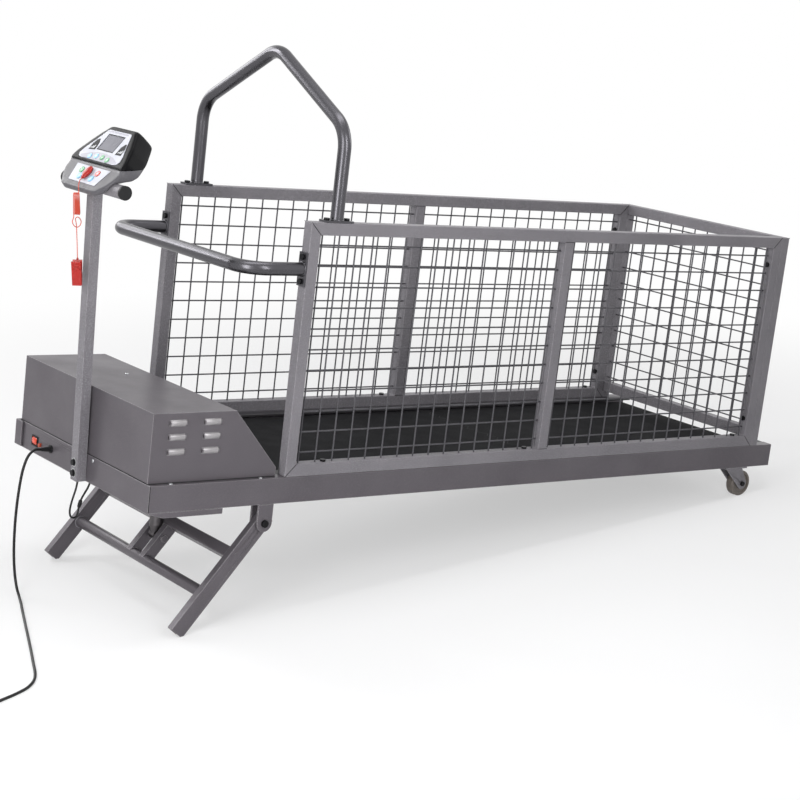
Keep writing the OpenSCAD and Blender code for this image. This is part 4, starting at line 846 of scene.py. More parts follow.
def smoothed(points: Rows, steps: int = 6) -> Points:
    """Runs a smooth curve through points.

    Args:
        points: places in millimetres.
        steps: steps from each to the next.

    Returns:
        Places along the curve, in millimetres.
    """
    p = [Vector(q) for q in points]
    made: Points = []
    for i in range(len(p) - 1):
        a, b, c, d = p[max(i - 1, 0)], p[i], p[i + 1], p[min(i + 2, len(p) - 1)]
        for k in range(steps):
            t = k / steps
            made.append((2 * b + (c - a) * t + (2 * a - 5 * b + 4 * c - d) * t * t
                         + (3 * b - a - 3 * c + d) * t ** 3) / 2)
    return made + [p[-1]]


def joined(*runs: Points) -> Points:
    """Joins runs end to end, without the doubled points.

    Args:
        runs: paths in millimetres.

    Returns:
        The whole path.
    """
    made = list(runs[0])
    for run in runs[1:]:
        made += [q for q in run if (q - made[-1]).length > DOUBLE_MM]
    return made


def strands(name: str, runs: Sequence[Points], diameter: float, closed: bool = False) -> Piece:
    """Makes round strands along paths.

    Args:
        name: the piece's name.
        runs: paths, each of places in millimetres.
        diameter: in millimetres.
        closed: whether each path runs back to its start.

    Returns:
        The curve object.
    """
    data = bpy.data.curves.new(name, "CURVE")
    data.dimensions = "3D"
    data.bevel_depth = diameter / 2 * MM
    data.bevel_resolution = 3
    data.use_fill_caps = True
    for run in runs:
        line = data.splines.new("POLY")
        line.points.add(len(run) - 1)
        for point, q in zip(line.points, run):
            point.co = (*(q * MM), 1)
        line.use_smooth = True
        line.use_cyclic_u = closed
    return linked(name, data)


@dataclass
class PowerLead:
    """Mains lead: out of its gland, down to the floor, off to a neat coil and its plug."""

    diameter: float = 7.0
    gland_tip: Triple = (-1058.61, 145.96, 355.269)
    coil_centre: Pair = (-1502.0, -385.0)
    coil_r: float = 44.0
    coil_start_deg: float = -68.0
    coil_turns: float = 3.25
    coil_low: float = 1.5
    coil_rise: float = 0.5
    coil_pitch: float = 8.6
    coil_tail: float = 30.0
    coil_rings: int = 40
    route: Rows = (
        (-1077, 146, 357), (-1095, 145, 344), (-1109, 144, 316), (-1119, 142, 284), (-1130, 140, 234),
        (-1138, 140, 176), (-1143, 140, 112), (-1145, 136, 62), (-1147, 124, 26), (-1153, 98, 8),
        (-1165, 64, 4), (-1179, 30, 3.5), (-1212, -52, 3.5), (-1252, -152, 3.5), (-1297, -262, 3.5),
        (-1331, -340, 3.5), (-1365, -380, 3.5), (-1407, -400, 3.5), (-1449, -412, 3.5))
    relief_r: Row = (4.5, 5.4, 4.6, 5.9, 5.0, 6.4, 5.5, 6.8, 7.0)
    relief_x: Row = (0, 2, 4, 6, 8, 10, 12, 14, 18.2)
    plug_size: Triple = (30.0, 30.0, 24.0)
    plug_x: float = 33.0
    plug_round: float = 4.5
    rib_size: Triple = (1.6, 30.6, 12.0)
    rib_round: float = 0.7
    ribs_x: Row = (24.0, 28.0, 32.0)
    blade_size: Triple = (16.0, 1.5, 6.5)
    blade_at: Triple = (55.9, 6.35, 4.0)
    blade_round: float = 0.5
    pin_r: Row = (2.4, 2.4, 1.4)
    pin_x: Row = (47.9, 62.0, 64.0)
    tie_turns: Pair = (1.05, 0.05)
    tie_spare: float = 1.2
    tie_width: float = 5.0
    tie_wall: float = 0.8
    tie_half: float = 10.6
    tie_z: float = 11.0

    def coil_at(self, u: float) -> Vector:
        """Place on the coil.

        Args:
            u: turns from the start.

        Returns:
            The place in millimetres.
        """
        spread = max(0.0, u - self.coil_low - self.coil_rise) - min(u, self.coil_low)
        radius = self.coil_r + self.coil_pitch * spread
        angle = math.radians(self.coil_start_deg - 360 * u)
        t = max(0.0, min(1.0, (u - self.coil_low) / self.coil_rise))
        return Vector((self.coil_centre[0] + radius * math.cos(angle),
                       self.coil_centre[1] + radius * math.sin(angle),
                       self.diameter / 2 + self.coil_pitch * t * t * (3 - 2 * t)))

    def plug_frame(self) -> Matrix:
        """Places the plug at the lead's end, with X along it.

        Returns:
            The matrix from its millimetres to room metres.
        """
        turn = math.radians(self.coil_start_deg - 360 * self.coil_turns - 90)
        root = self.coil_at(self.coil_turns) + self.coil_tail * Vector((math.cos(turn), math.sin(turn), 0))
        return Matrix.Translation(root * MM) @ Matrix.Rotation(turn, 4, "Z") @ Matrix.Scale(MM, 4)

    def path(self) -> Points:
        """Joins the free run, the coil and the tail.

        Returns:
            The lead's whole route, in millimetres.
        """
        free = smoothed([self.gland_tip, *self.route, self.coil_at(0)])
        rings = int(self.coil_turns * self.coil_rings)
        coil = [self.coil_at(i / self.coil_rings) for i in range(rings + 1)]
        return joined(free, coil, [self.plug_frame().translation / MM])

    def plug(self) -> list[Piece]:
        """Makes the plug's moulded body with its ribbed relief, and its blades.

        Returns:
            The two pieces.
        """
        body = Shape()
        body.rod(self.relief_r, self.relief_x, ALONG)
        body.box(self.plug_size, Matrix.Translation((self.plug_x, 0, 0)), bevel=self.plug_round, segments=4)
        for x in self.ribs_x:
            body.box(self.rib_size, Matrix.Translation((x, 0, 0)), bevel=self.rib_round)
        blades = Shape()
        x, y, z = self.blade_at
        for side in (-1, 1):
            blades.box(self.blade_size, Matrix.Translation((x, side * y, z)), bevel=self.blade_round)
        blades.rod(self.pin_r, self.pin_x, Matrix.Translation((0, 0, -z)) @ ALONG)
        frame = self.plug_frame()
        return [settle(body.piece("plug_body", frame), Body.CHASSIS, "black_plastic", BLACK_PLASTIC, "plug"),
                settle(blades.piece("plug_blades", frame), Body.CHASSIS, "bright_steel", BRIGHT_STEEL)]

    def tie(self) -> Piece:
        """Makes the wire tie round the coil's strands.

        Returns:
            The tie.
        """
        shape = Shape()
        inner, outer = (self.coil_at(u) for u in self.tie_turns)
        middle = (inner + outer) / 2
        angle = math.atan2(middle.y - self.coil_centre[1], middle.x - self.coil_centre[0])
        half = (outer - inner).length / 2 + self.diameter / 2 + self.tie_spare
        ring = bmesh.ops.create_circle(shape.bm, segments=40, radius=1)["verts"]
        shape.move(ring, Matrix.Diagonal((half, self.tie_half, 1, 1)))
        made = bmesh.ops.extrude_edge_only(shape.bm, edges=shape.bm.edges[:])["geom"]
        shape.move(only(bmesh.types.BMVert, made), Matrix.Translation((0, 0, self.tie_width)))
        bmesh.ops.solidify(shape.bm, geom=shape.bm.faces[:], thickness=self.tie_wall)
        lift = Matrix.Translation((middle.x, middle.y, self.tie_z))
        stand = Matrix.Rotation(angle, 4, "Z") @ Matrix.Rotation(math.radians(90), 4, "X")
        piece = shape.piece("coil_tie", Matrix.Scale(MM, 4) @ lift @ stand)
        return settle(piece, Body.CHASSIS, "black_plastic", BLACK_PLASTIC)

    def build(self) -> None:
        path = self.path()
        lead = settle(strands("power_lead", [path], self.diameter), Body.CHASSIS, "cord_rubber", CORD_SHEATH,
                      "power_cord", "power_coil")
        pieces = [*self.plug(), self.tie()]


@dataclass
class SignalLead:
    """Thin lead from the column's foot, in a hanging loop, up into the tray."""

    diameter: float = 5.0
    route: Rows = (
        (-1048, -22, 331), (-1050, -22, 318), (-1055, -21, 298), (-1063, -19, 275), (-1068, -17, 256),
        (-1069, -15, 242), (-1066, -13, 231), (-1059, -11, 225), (-1050, -9, 226), (-1044, -7, 234),
        (-1040, -6, 247), (-1033, -4, 263), (-1023, -3, 277), (-1014, -3, 289))
    ends: Rows = ((29, -3, -81.7), (29, -3, -74.7), (29, -3, -64))
    joint_at: tuple[int, int] = (10, 11)
    joint_r: Row = (2.8, 4.0, 4.3, 4.3, 5.2, 5.2, 4.5, 4.5, 4.0, 2.8)
    joint_z: Row = (-10, -8, -7, -1, -1, 1.2, 1.2, 7, 8, 10)
    rib_r: Row = (4.4, 4.9, 4.9, 4.4)
    rib_z: Row = (-0.6, -0.3, 0.3, 0.6)
    ribs_at: Row = (-5.0, -3.0, 3.4, 5.4)

    def joint(self) -> Piece:
        """Makes the plug-in joint of the lead: two ribbed halves with a collar between them.

        Returns:
            The joint.
        """
        low, high = (Vector(self.route[i]) for i in self.joint_at)
        turn = (high - low).to_track_quat("Z", "Y").to_matrix().to_4x4()
        shape = Shape()
        shape.rod(self.joint_r, self.joint_z, Matrix.Identity(4), sides=20)
        for at in self.ribs_at:
            shape.rod(self.rib_r, [at + z for z in self.rib_z], Matrix.Identity(4), sides=20)
        frame = Matrix.Scale(MM, 4) @ Matrix.Translation((low + high) / 2) @ turn
        return settle(shape.piece("signal_joint", frame), Body.CHASSIS, "black_plastic", BLACK_PLASTIC)

    def build(self) -> None:
        path = smoothed([*self.route, *(DECK.mm(*e) for e in self.ends)])
        lead = settle(strands("signal_lead", [path], self.diameter), Body.CHASSIS, "cord_rubber", CORD_SHEATH,
                      "signal_cable")
        self.joint()


@dataclass
class Lanyard:
    """Safety cord: from the key over the console's lower edge, a hank, a teardrop and the clip."""

    diameter: float = 2.0
    key_tail: Triple = (-1014.26, -10.0, 1039.63)
    top: Rows = ((-1021, -14, 1036), (-1029, -23, 1029), (-1035, -33, 1019))
    hank: Triple = (-1040.0, -33.0, 986.0)
    hank_turn_deg: float = 52.0
    hank_l: float = 50.0
    hank_r: float = 6.0
    turns: int = 5
    spare: float = 0.6
    loop_steps: int = 48
    drop: Rows = (
        (-7, 7, -30), (-8, 10, -40), (-8, 7, -49), (-8, 0, -53), (-8, -7, -49), (-8, -10, -40),
        (-9, -7, -32), (-11, -2, -29), (-12, 2, -33), (-12, 1, -41), (-12, 0, -52), (-11, 0, -75),
        (-10, 0, -100), (-10, 0, -124))

    def from_hank(self, p: Row) -> Vector:
        """Turns a place beside the hank into one in the room, in millimetres."""
        return Vector(self.hank) + Matrix.Rotation(math.radians(self.hank_turn_deg), 3, "Z") @ Vector(p)

    def hank_at(self, u: float) -> Vector:
        """Place on the hank.

        Args:
            u: loops from the start.

        Returns:
            The place in millimetres.
        """
        straight = self.hank_l - 2 * self.hank_r
        arc = math.pi * self.hank_r
        s = (u - math.floor(u)) * 2 * (straight + arc)
        r = self.hank_r
        if s < straight:
            x, z = -r, straight / 2 - s
        elif s < straight + arc:
            a = (s - straight) / r
            x, z = -r * math.cos(a), -straight / 2 - r * math.sin(a)
        elif s < 2 * straight + arc:
            x, z = r, s - 1.5 * straight - arc
        else:
            a = (s - 2 * straight - arc) / r
            x, z = r * math.cos(a), straight / 2 + r * math.sin(a)
        return self.from_hank((x, (self.diameter + self.spare) * (u - self.turns / 2), z))

    def build(self) -> None:
        straight = self.hank_l - 2 * self.hank_r
        end = self.turns + straight / (2 * (straight + math.pi * self.hank_r))
        steps = range(int(end * self.loop_steps) + 1)
        loops = [self.hank_at(i / self.loop_steps) for i in steps] + [self.hank_at(end)]
        over = smoothed([self.key_tail, *self.top, self.hank_at(0)])
        down = smoothed([self.hank_at(end), *(self.from_hank(p) for p in self.drop)])
        path = joined(over, loops, down)
        cord = settle(strands("lanyard_cord", [path], self.diameter), Body.SAFETY, "red_cord", LANYARD,
                      "lanyard", "lanyard_hank")


@dataclass(frozen=True)
class ClipRibs:
    """Finger ribs across both handles of the lanyard's clip, on its own upright frame."""

    knob_top: Triple = (11.0, 0.0, 30.0)
    foot: Pair = (8.4, 0.0)
    head: Pair = (13.0, 26.0)
    heights: Row = (7.0, 11.0, 15.0, 19.0, 23.0)
    length: float = 18.0
    radius: float = 1.1

    def frame(self, cord: Lanyard) -> Matrix:
        """Places the clip, on whose knob the cord ends.

        Args:
            cord: the cord that it hangs on.

        Returns:
            The matrix from the clip's millimetres, round its pivot, to room metres.
        """
        turn = Matrix.Rotation(math.radians(cord.hank_turn_deg), 4, "Z")
        end = Matrix.Translation(cord.from_hank(cord.drop[-1]))
        return Matrix.Scale(MM, 4) @ end @ turn @ Matrix.Translation(-Vector(self.knob_top))

    def build(self) -> None:
        """Makes the ribs of the fixed handle and of the jaw's."""
        frame = self.frame(Lanyard())
        lean = (self.head[0] - self.foot[0]) / (self.head[1] - self.foot[1])
        half, r = self.length / 2, self.radius
        for name, body, side in (("clip_ribs", Body.SAFETY, 1), ("jaw_ribs", Body.JAW, -1)):
            shape = Shape()
            for z in self.heights:
                place = Matrix.Translation((side * (self.foot[0] + lean * z), half, z))
                shape.rod((r / 2, r, r, r / 2), (0, r, 2 * half - r, 2 * half),
                          place @ Matrix.Rotation(math.pi / 2, 4, "X"), sides=12)
            settle(shape.piece(name, frame), body, "red_plastic", RED_PLASTIC)


# Console


@dataclass
class Console:
    """Rounded console housing: a black cover on a grey base, parted by a sloping joint; the base's grey is
    partly painted reflection.
    """

    nodes: dict[str, Piece]
    voxel: float = 2.2
    passes: int = 40
    joint_at: Pair = (-60.0, -4.0)
    joint_fall_deg: float = 47.0
    joint_gap: float = 0.9

    def rounded(self) -> bpy.types.Mesh:
        """Copies the plain housing and rounds its edges as a mould does.

        Returns:
            The rounded mesh, in room metres.
        """
        work = bmesh.new()
        work.from_mesh(self.nodes["console_shell"].data)
        bmesh.ops.remove_doubles(work, verts=work.verts, dist=WELD_M)
        mesh = bpy.data.meshes.new("housing_work")
        work.to_mesh(mesh)
        work.free()
        source = linked("housing_work", mesh)
        grid = source.modifiers.new("grid", "REMESH")
        grid.mode = "VOXEL"
        grid.voxel_size = self.voxel * MM
        soft = source.modifiers.new("soft", "SMOOTH")
        soft.factor = 0.5
        soft.iterations = self.passes
        graph = bpy.context.evaluated_depsgraph_get()
        made = bpy.data.meshes.new_from_object(source.evaluated_get(graph))
        bpy.data.objects.remove(source)
        return made

    def half(self, name: str, mesh: bpy.types.Mesh, side: int) -> Piece:
        """Cuts one half of the housing off at the joint.

        Args:
            name: the piece's name.
            mesh: the whole rounded housing.
            side: 1 for the cover above the joint, -1 for the base below it.

        Returns:
            The half.
        """
        shape = Shape()
        shape.bm.from_mesh(mesh)
        shape.bm.transform(FACE.matrix().inverted())
        fall = math.radians(self.joint_fall_deg)
        normal = Vector((0, math.sin(fall), math.cos(fall))) * side
        shape.keep(Vector((0, *self.joint_at)) + normal * self.joint_gap / 2, normal)
        return shape.piece(name, FACE.matrix(), smooth_deg=50)

    def build(self) -> None:
        """Makes the cover and the base."""
        mesh = self.rounded()
        settle(self.half("console_cover", mesh, 1), Body.CHASSIS, "shell_plastic", COVER_ABS, "console_shell")
        # grey base: partly its own tone, partly painted reflection of light
        settle(self.half("console_base", mesh, -1), Body.CHASSIS, "shell_plastic", CHIN_ABS_PAINTED_SHEEN)


@dataclass(frozen=True)
class KeyGrip:
    """Grip of the safety key: a flat pebble, broad at its head and drawn in toward the cord."""

    centre: Triple = (0.0, -89.1, -0.4)
    size: Triple = (27.0, 38.0, 12.0)
    sole: float = -5.0
    stem_r: float = 6.0
    stem_l: Pair = (-5.0, 1.0)
    draws: Row = (2.0, -2.0, -6.0, -10.0, -14.0)
    draw: float = 0.92

    def build(self) -> None:
        """Makes the grip and its stem."""
        shape = Shape()
        verts = bmesh.ops.create_uvsphere(shape.bm, u_segments=40, v_segments=28, radius=0.5)["verts"]
        shape.move(verts, Matrix.Diagonal((*self.size, 1)))
        for reach in self.draws:
            shape.move([v for v in verts if v.co.y < reach], Matrix.Diagonal((self.draw, 1, 1, 1)))
        shape.move(verts, Matrix.Translation(self.centre))
        shape.keep((0, 0, self.sole), (0, 0, 1))
        shape.rod((self.stem_r, self.stem_r), [self.sole + z for z in self.stem_l],
                  Matrix.Translation((0, self.centre[1], 0)))
        settle(shape.piece("key_grip", FACE.matrix(), smooth_deg=60), Body.SAFETY, "red_plastic", RED_PLASTIC,
               "safety_key")


@dataclass
class FacePrint:
    """Printing on the console's film: key band, display frame, two fins with bars and a bare strip."""

    skin: float = 1.0
    ink: float = 0.2
    sunk: float = 0.3
    band: Rows = ((-80, -45.5), (-62, -40.5), (-34, -32.5), (8, -29.8), (50, -34.5), (72, -41.5),
                  (84, -46.5))
    band_foot: Rows = ((82, -50.5), (72, -53), (-72, -53), (-82, -50.5))
    window: Pair = (35.2, 21.7)
    window_rim: float = 2.6
    fin_left: Rows = ((-70, -29), (-71, -11), (-64, 3), (-56, 6), (-47, -5), (-42, -26))
    fin_right: Rows = ((52, -27), (53, -5), (61, 7), (67, 6), (74, -6), (78, -26))
    strip: Rows = ((-44, 29.5), (-40, 34), (40, 34), (44, 29.5))
    bars_at: Rows = ((-68, -24), (57, -21))
    bar_heights: Row = (4.0, 7.0, 10.0)
    bar_step: float = 6.0
    bar_width: float = 3.0
    bar_slant: float = 2.0

    def ring(self) -> list[list[Pair]]:
        """Draws the four mitred sides of the display's frame.

        Returns:
            Their outlines on the face.
        """
        (x, y), rim = self.window, self.window_rim
        corners = ((-1, -1), (1, -1), (1, 1), (-1, 1))
        inner = [(a * x, b * y) for a, b in corners]
        outer = [(a * (x + rim), b * (y + rim)) for a, b in corners]
        return [[outer[i - 1], outer[i], inner[i], inner[i - 1]] for i in range(len(corners))]

    def bars(self) -> list[list[Pair]]:
        """Draws three slanting bars on each fin, each taller than the last.

        Returns:
            Their outlines on the face.
        """
        made = []
        for left, low in self.bars_at:
            for i, tall in enumerate(self.bar_heights):
                x = left + self.bar_step * i
                top, end = x + self.bar_slant, x + self.bar_width
                made.append([(x, low), (end, low), (end + self.bar_slant, low + tall), (top, low + tall)])
        return made

    def build(self) -> None:
        """Prints the grey, the black and the white."""
        low, top = self.skin - self.sunk, self.skin + self.ink
        arc = [(p.x, p.y) for p in smoothed([(*q, 0) for q in self.band], steps=4)]
        prints = (("key_band", BAND_INK, [[*arc, *self.band_foot], self.strip], low, top),
                  ("face_marks", INK_BLACK, [*self.ring(), self.fin_left, self.fin_right], low, top),
                  ("face_bars", INK_WHITE, self.bars(), self.skin, top + self.ink))
        for name, finish, outlines, under, over in prints:
            shape = Shape()
            for outline in outlines:
                shape.plate(outline, under, over)
            settle(shape.piece(name, FACE.matrix()), Body.CHASSIS, "overlay", finish)


class Sign(Enum):
    """Plain signs on the keys, as outlines in millimetres round a key's middle."""

    MINUS = (((-3.2, -0.8), (3.2, -0.8), (3.2, 0.8), (-3.2, 0.8)),)
    PLUS = (((-3.2, -0.8), (3.2, -0.8), (3.2, 0.8), (-3.2, 0.8)),
            ((-0.8, 0.9), (0.8, 0.9), (0.8, 3.2), (-0.8, 3.2)),
            ((-0.8, -3.2), (0.8, -3.2), (0.8, -0.9), (-0.8, -0.9)))
    UP = (((-3.2, -2.2), (3.2, -2.2), (0, 3)),)
    DOWN = (((-3.2, 2.2), (0, -3), (3.2, 2.2)),)
    RUN = (((-2.2, -3.2), (3.2, 0), (-2.2, 3.2)),)
    HALT = (((-2.5, -2.5), (2.5, -2.5), (2.5, 2.5), (-2.5, 2.5)),)


@dataclass
class KeySigns:
    """A white sign on each film key, which moves with it."""

    lift: float = 0.02
    ink: float = 0.15
    signs: dict[Body, Sign] = field(default_factory=lambda: {
        Body.UPPER_1: Sign.DOWN, Body.UPPER_2: Sign.UP, Body.UPPER_3: Sign.MINUS, Body.UPPER_4: Sign.PLUS,
        Body.START: Sign.RUN, Body.STOP: Sign.HALT, Body.SLOWER: Sign.MINUS, Body.FASTER: Sign.PLUS})
    tops: Pair = (2.4, -3.6)
    step_at: float = -60.0

    def build(self) -> None:
        """Prints each sign on top of its key."""
        for body, sign in self.signs.items():
            low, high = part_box(body.value)
            middle = FACE.matrix().inverted() @ ((Vector(low) + Vector(high)) / 2)
            top = self.tops[0] if middle.y > self.step_at else self.tops[1]
            shape = Shape()
            for outline in sign.value:
                shape.plate([(x + middle.x, y + middle.y) for x, y in outline], top + self.lift,
                            top + self.lift + self.ink)
            settle(shape.piece(body.value + "_sign", FACE.matrix()), body, "overlay", INK_WHITE)


# Belts


@dataclass(frozen=True)
class Drum:
    """A roller or pulley in the deck's upright plane."""

    x: float
    z: float
    r: float


@dataclass
class EndlessBelt:
    """A belt round two drums, drawn as one closed band."""

    name: str
    slot: str
    finish: Finish
    front: Drum
    rear: Drum
    middle: float
    width: float
    thick: float
    steps: int = 20
    close: float = 0.01

    def extruded(self, shape: Shape, edges: Edges, way: Vector) -> Edges:
        """Carries the band's section on in a straight line.

        Args:
            shape: the mesh in work.
            edges: the section's edges.
            way: how far it goes.

        Returns:
            The section's edges at the far end.
        """
        made = bmesh.ops.extrude_edge_only(shape.bm, edges=edges)["geom"]
        verts = set(only(bmesh.types.BMVert, made))
        shape.move(verts, Matrix.Translation(way))
        return [e for e in shape.bm.edges if e.verts[0] in verts and e.verts[1] in verts]

    def spun(self, shape: Shape, edges: Edges, drum: Drum, angle: float) -> Edges:
        """Carries the band's section round a drum.

        Args:
            shape: the mesh in work.
            edges: the section's edges.
            drum: the drum.
            angle: how far round, in radians.

        Returns:
            The section's edges at the far end.
        """
        verts = list({v for e in edges for v in e.verts})
        last = bmesh.ops.spin(shape.bm, geom=[*verts, *edges], cent=(drum.x, 0, drum.z), axis=(0, 1, 0),
                              angle=angle, steps=self.steps)["geom_last"]
        return only(bmesh.types.BMEdge, last)

    def build(self) -> None:
        """Runs the band's section once round both drums."""
        front = Vector((self.front.x, 0, self.front.z))
        rear = Vector((self.rear.x, 0, self.rear.z))
        along = (rear - front).normalized()
        above = Vector((-along.z, 0, along.x))
        lean = (self.front.r - self.rear.r) / (rear - front).length
        rise = math.sqrt(1 - lean * lean)
        top, foot = along * lean + above * rise, along * lean - above * rise
        shape = Shape()
        corners = []
        for y, out in ((-0.5, 0), (0.5, 0), (0.5, self.thick), (-0.5, self.thick)):
            place = front + foot * (self.front.r + out) + Vector((0, self.middle + y * self.width, 0))
            corners.append(shape.bm.verts.new(place))
        section = [shape.bm.edges.new((a, b)) for a, b in zip(corners, [*corners[1:], corners[0]])]
        bend = 2 * math.acos(lean)
        section = self.spun(shape, section, self.front, math.tau - bend)
        section = self.extruded(shape, section, rear - front + top * (self.rear.r - self.front.r))
        section = self.spun(shape, section, self.rear, bend)
        self.extruded(shape, section, front - rear + foot * (self.front.r - self.rear.r))
        bmesh.ops.remove_doubles(shape.bm, verts=shape.bm.verts, dist=self.close)
        made = shape.piece(self.name + "_band", DECK.matrix(), smooth_deg=30)
        settle(made, Body.CHASSIS, self.slot, self.finish, self.name)


@dataclass
class Belts:
    """Running belt with its finger splice, and the drive belt under the hood."""

    half_w: float = 258.0
    top: float = -8.0
    splice_x: float = 1240.0
    tooth: float = 22.0
    teeth: int = 24
    splice_d: float = 0.9
    front_roller: Drum = Drum(300.0, -32.8, 22.3)
    rear_roller: Drum = Drum(2050.0, -32.8, 22.3)
    motor_pulley: Drum = Drum(112.0, -20.0, 14.3)
    roller_pulley: Drum = Drum(300.0, -32.8, 30.3)
    run_thick: float = 2.5
    drive_thick: float = 2.6

    def build(self) -> None:
        """Makes both belts and draws the splice."""
        EndlessBelt("running_belt", "belt_rubber", BELT, self.front_roller, self.rear_roller, 0,
                    2 * self.half_w, self.run_thick).build()
        low, high = (DECK.matrix().inverted() @ Vector(c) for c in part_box("drive_belt"))
        EndlessBelt("drive_belt", "belt_rubber", RIB_RUBBER, self.motor_pulley, self.roller_pulley,
                    (low.y + high.y) / 2, high.y - low.y, self.drive_thick).build()
        step = 2 * self.half_w / self.teeth
        zigzag = [DECK.mm(self.splice_x + self.tooth * (i % 2), i * step - self.half_w, self.top)
                  for i in range(self.teeth + 1)]
        settle(strands("belt_splice", [zigzag], self.splice_d), Body.CHASSIS, "belt_rubber", RIB_RUBBER)


# Joints of the welded frame


def hoop(centre: Row, axis: str, radius: float, steps: int = 20) -> Points:
    """Circle on the deck's axes.

    Args:
        centre: its middle on the deck.
        axis: the deck axis that it goes round.
        radius: in millimetres.
        steps: points round it.

    Returns:
        Places in the room, in millimetres.
    """
    start = Vector((0, 0, radius)) if axis != "Z" else Vector((radius, 0, 0))
    turns = (Matrix.Rotation(math.tau * i / steps, 3, axis) @ start for i in range(steps))
    return [DECK.mm(*(Vector(centre) + t)) for t in turns]


@dataclass
class FrameJoints:
    """Mitre lines, butt lines and weld beads of the cage, bars and incline frame."""

    front: float = 366.0
    rear: float = 2006.0
    middle: float = 1186.0
    height: float = 610.0
    half_w: float = 328.0
    tube: float = 30.0
    rear_lift: float = 20.0
    proud: float = 0.1
    inset: float = 5.0
    line_d: float = 1.5
    cage_bead_d: float = 5.0
    bead_d: float = 3.6
    arch_foot: Triple = (446.0, 313.0, 616.0)
    bar_foot: Triple = (360.0, 313.0, 498.0)
    bar_ring_r: float = 16.6
    pivot: Pair = (322.0, -111.0)
    leg_deg: float = 50.5
    leg_inner: float = 301.5
    leg_gap: float = 0.8
    round_tube_at: float = 216.0
    round_tube_r: float = 14.4
    square_tube_at: float = 103.0
    square_tube_half: float = 14.3

    def side_lines(self) -> list[Points]:
        """Draws lines on the outer and inner faces of both side panels.

        Returns:
            The ends of each, in millimetres in the room.
        """
        low, high, t = self.tube, self.height - self.tube, self.tube
        lines = [((x, outer), (x + step, inner)) for x, step in ((self.front, t), (self.rear, -t))
                 for outer, inner in ((0, low), (self.height, high))]
        lines += [((self.middle - t / 2, z), (self.middle + t / 2, z)) for z in (low, high)]
        depths = (self.half_w + self.proud, self.half_w - t - self.proud)
        faces = [side * y for side in (-1, 1) for y in depths]
        return [[DECK.mm(a[0], y, a[1]), DECK.mm(b[0], y, b[1])] for y in faces for a, b in lines]

    def rear_lines(self) -> list[Points]:
        """Draws lines on both faces of the rear panel.

        Returns:
            The ends of each, in millimetres in the room.
        """
        inner, high = self.half_w - self.tube, self.height - self.tube
        lines = []
        for side in (-1, 1):
            lines.append(((side * self.half_w, self.height), (side * inner, high)))
            lines.append(((side * inner, self.rear_lift), (side * inner, self.rear_lift + self.tube)))
        faces = (self.rear - self.proud, self.rear + self.tube + self.proud)
        return [[DECK.mm(x, a[0], a[1]), DECK.mm(x, b[0], b[1])] for x in faces for a, b in lines]

    def beads(self) -> list[Points]:
        """Lays weld beads in the inner corners of the cage's panels.

        Returns:
            The ends of each, in millimetres in the room.
        """
        t = self.tube
        stops = (self.front + t, self.middle - t / 2, self.middle + t / 2, self.rear - t)
        ends = (self.half_w - self.inset, self.half_w - t + self.inset)
        made = [[DECK.mm(x, side * y, z) for y in ends]
                for x in stops for z in (t, self.height - t) for side in (-1, 1)]
        corners = [(self.half_w - t, self.height - t), (self.half_w - t, self.rear_lift + t)]
        made += [[DECK.mm(self.rear + x, side * y, z) for x in (self.inset, t - self.inset)]
                 for y, z in corners for side in (-1, 1)]
        return made

    def bar_hoops(self) -> list[Points]:
        """Weld beads round the feet of the arch and of the handlebar."""
        return [hoop((x, side * y, z), axis, self.bar_ring_r)
                for (x, y, z), axis in ((self.arch_foot, "Z"), (self.bar_foot, "X")) for side in (-1, 1)]

    def leg_hoops(self) -> list[Points]:
        """Lays weld beads round the ends of the two cross tubes of the legs.

        Returns:
            The corners of each, in millimetres in the room.
        """
        turn = math.radians(self.leg_deg)
        down = Vector((-math.cos(turn), 0, -math.sin(turn)))
        over = Vector((math.sin(turn), 0, -math.cos(turn)))
        pivot = Vector((self.pivot[0], 0, self.pivot[1]))
        low = pivot + down * self.round_tube_at
        high = pivot + down * self.square_tube_at
        half = self.square_tube_half
        ring = [high + down * half * a + over * half * b for a, b in ((-1, -1), (1, -1), (1, 1), (-1, 1))]
        made = []
        for side in (-1, 1):
            y = side * (self.leg_inner - self.leg_gap)
            made.append(hoop((low.x, y, low.z), "Y", self.round_tube_r))
            made.append([DECK.mm(q.x, y, q.z) for q in ring])
        return made

    def build(self) -> None:
        """Draws the lines and lays the beads."""
        lines = self.side_lines() + self.rear_lines()
        settle(strands("mitre_lines", lines, self.line_d), Body.CHASSIS, "frame_coat", SHADOW_GAP)
        settle(strands("cage_beads", self.beads(), self.cage_bead_d), Body.CHASSIS, "frame_coat", FRAME_COAT)
        settle(strands("bar_beads", self.bar_hoops(), self.bead_d, True), Body.CHASSIS, "tube_coat",
               TUBE_COAT)
        settle(strands("leg_beads", self.leg_hoops(), self.bead_d, True), Body.LEGS, "frame_coat", FRAME_COAT)


# Small fittings


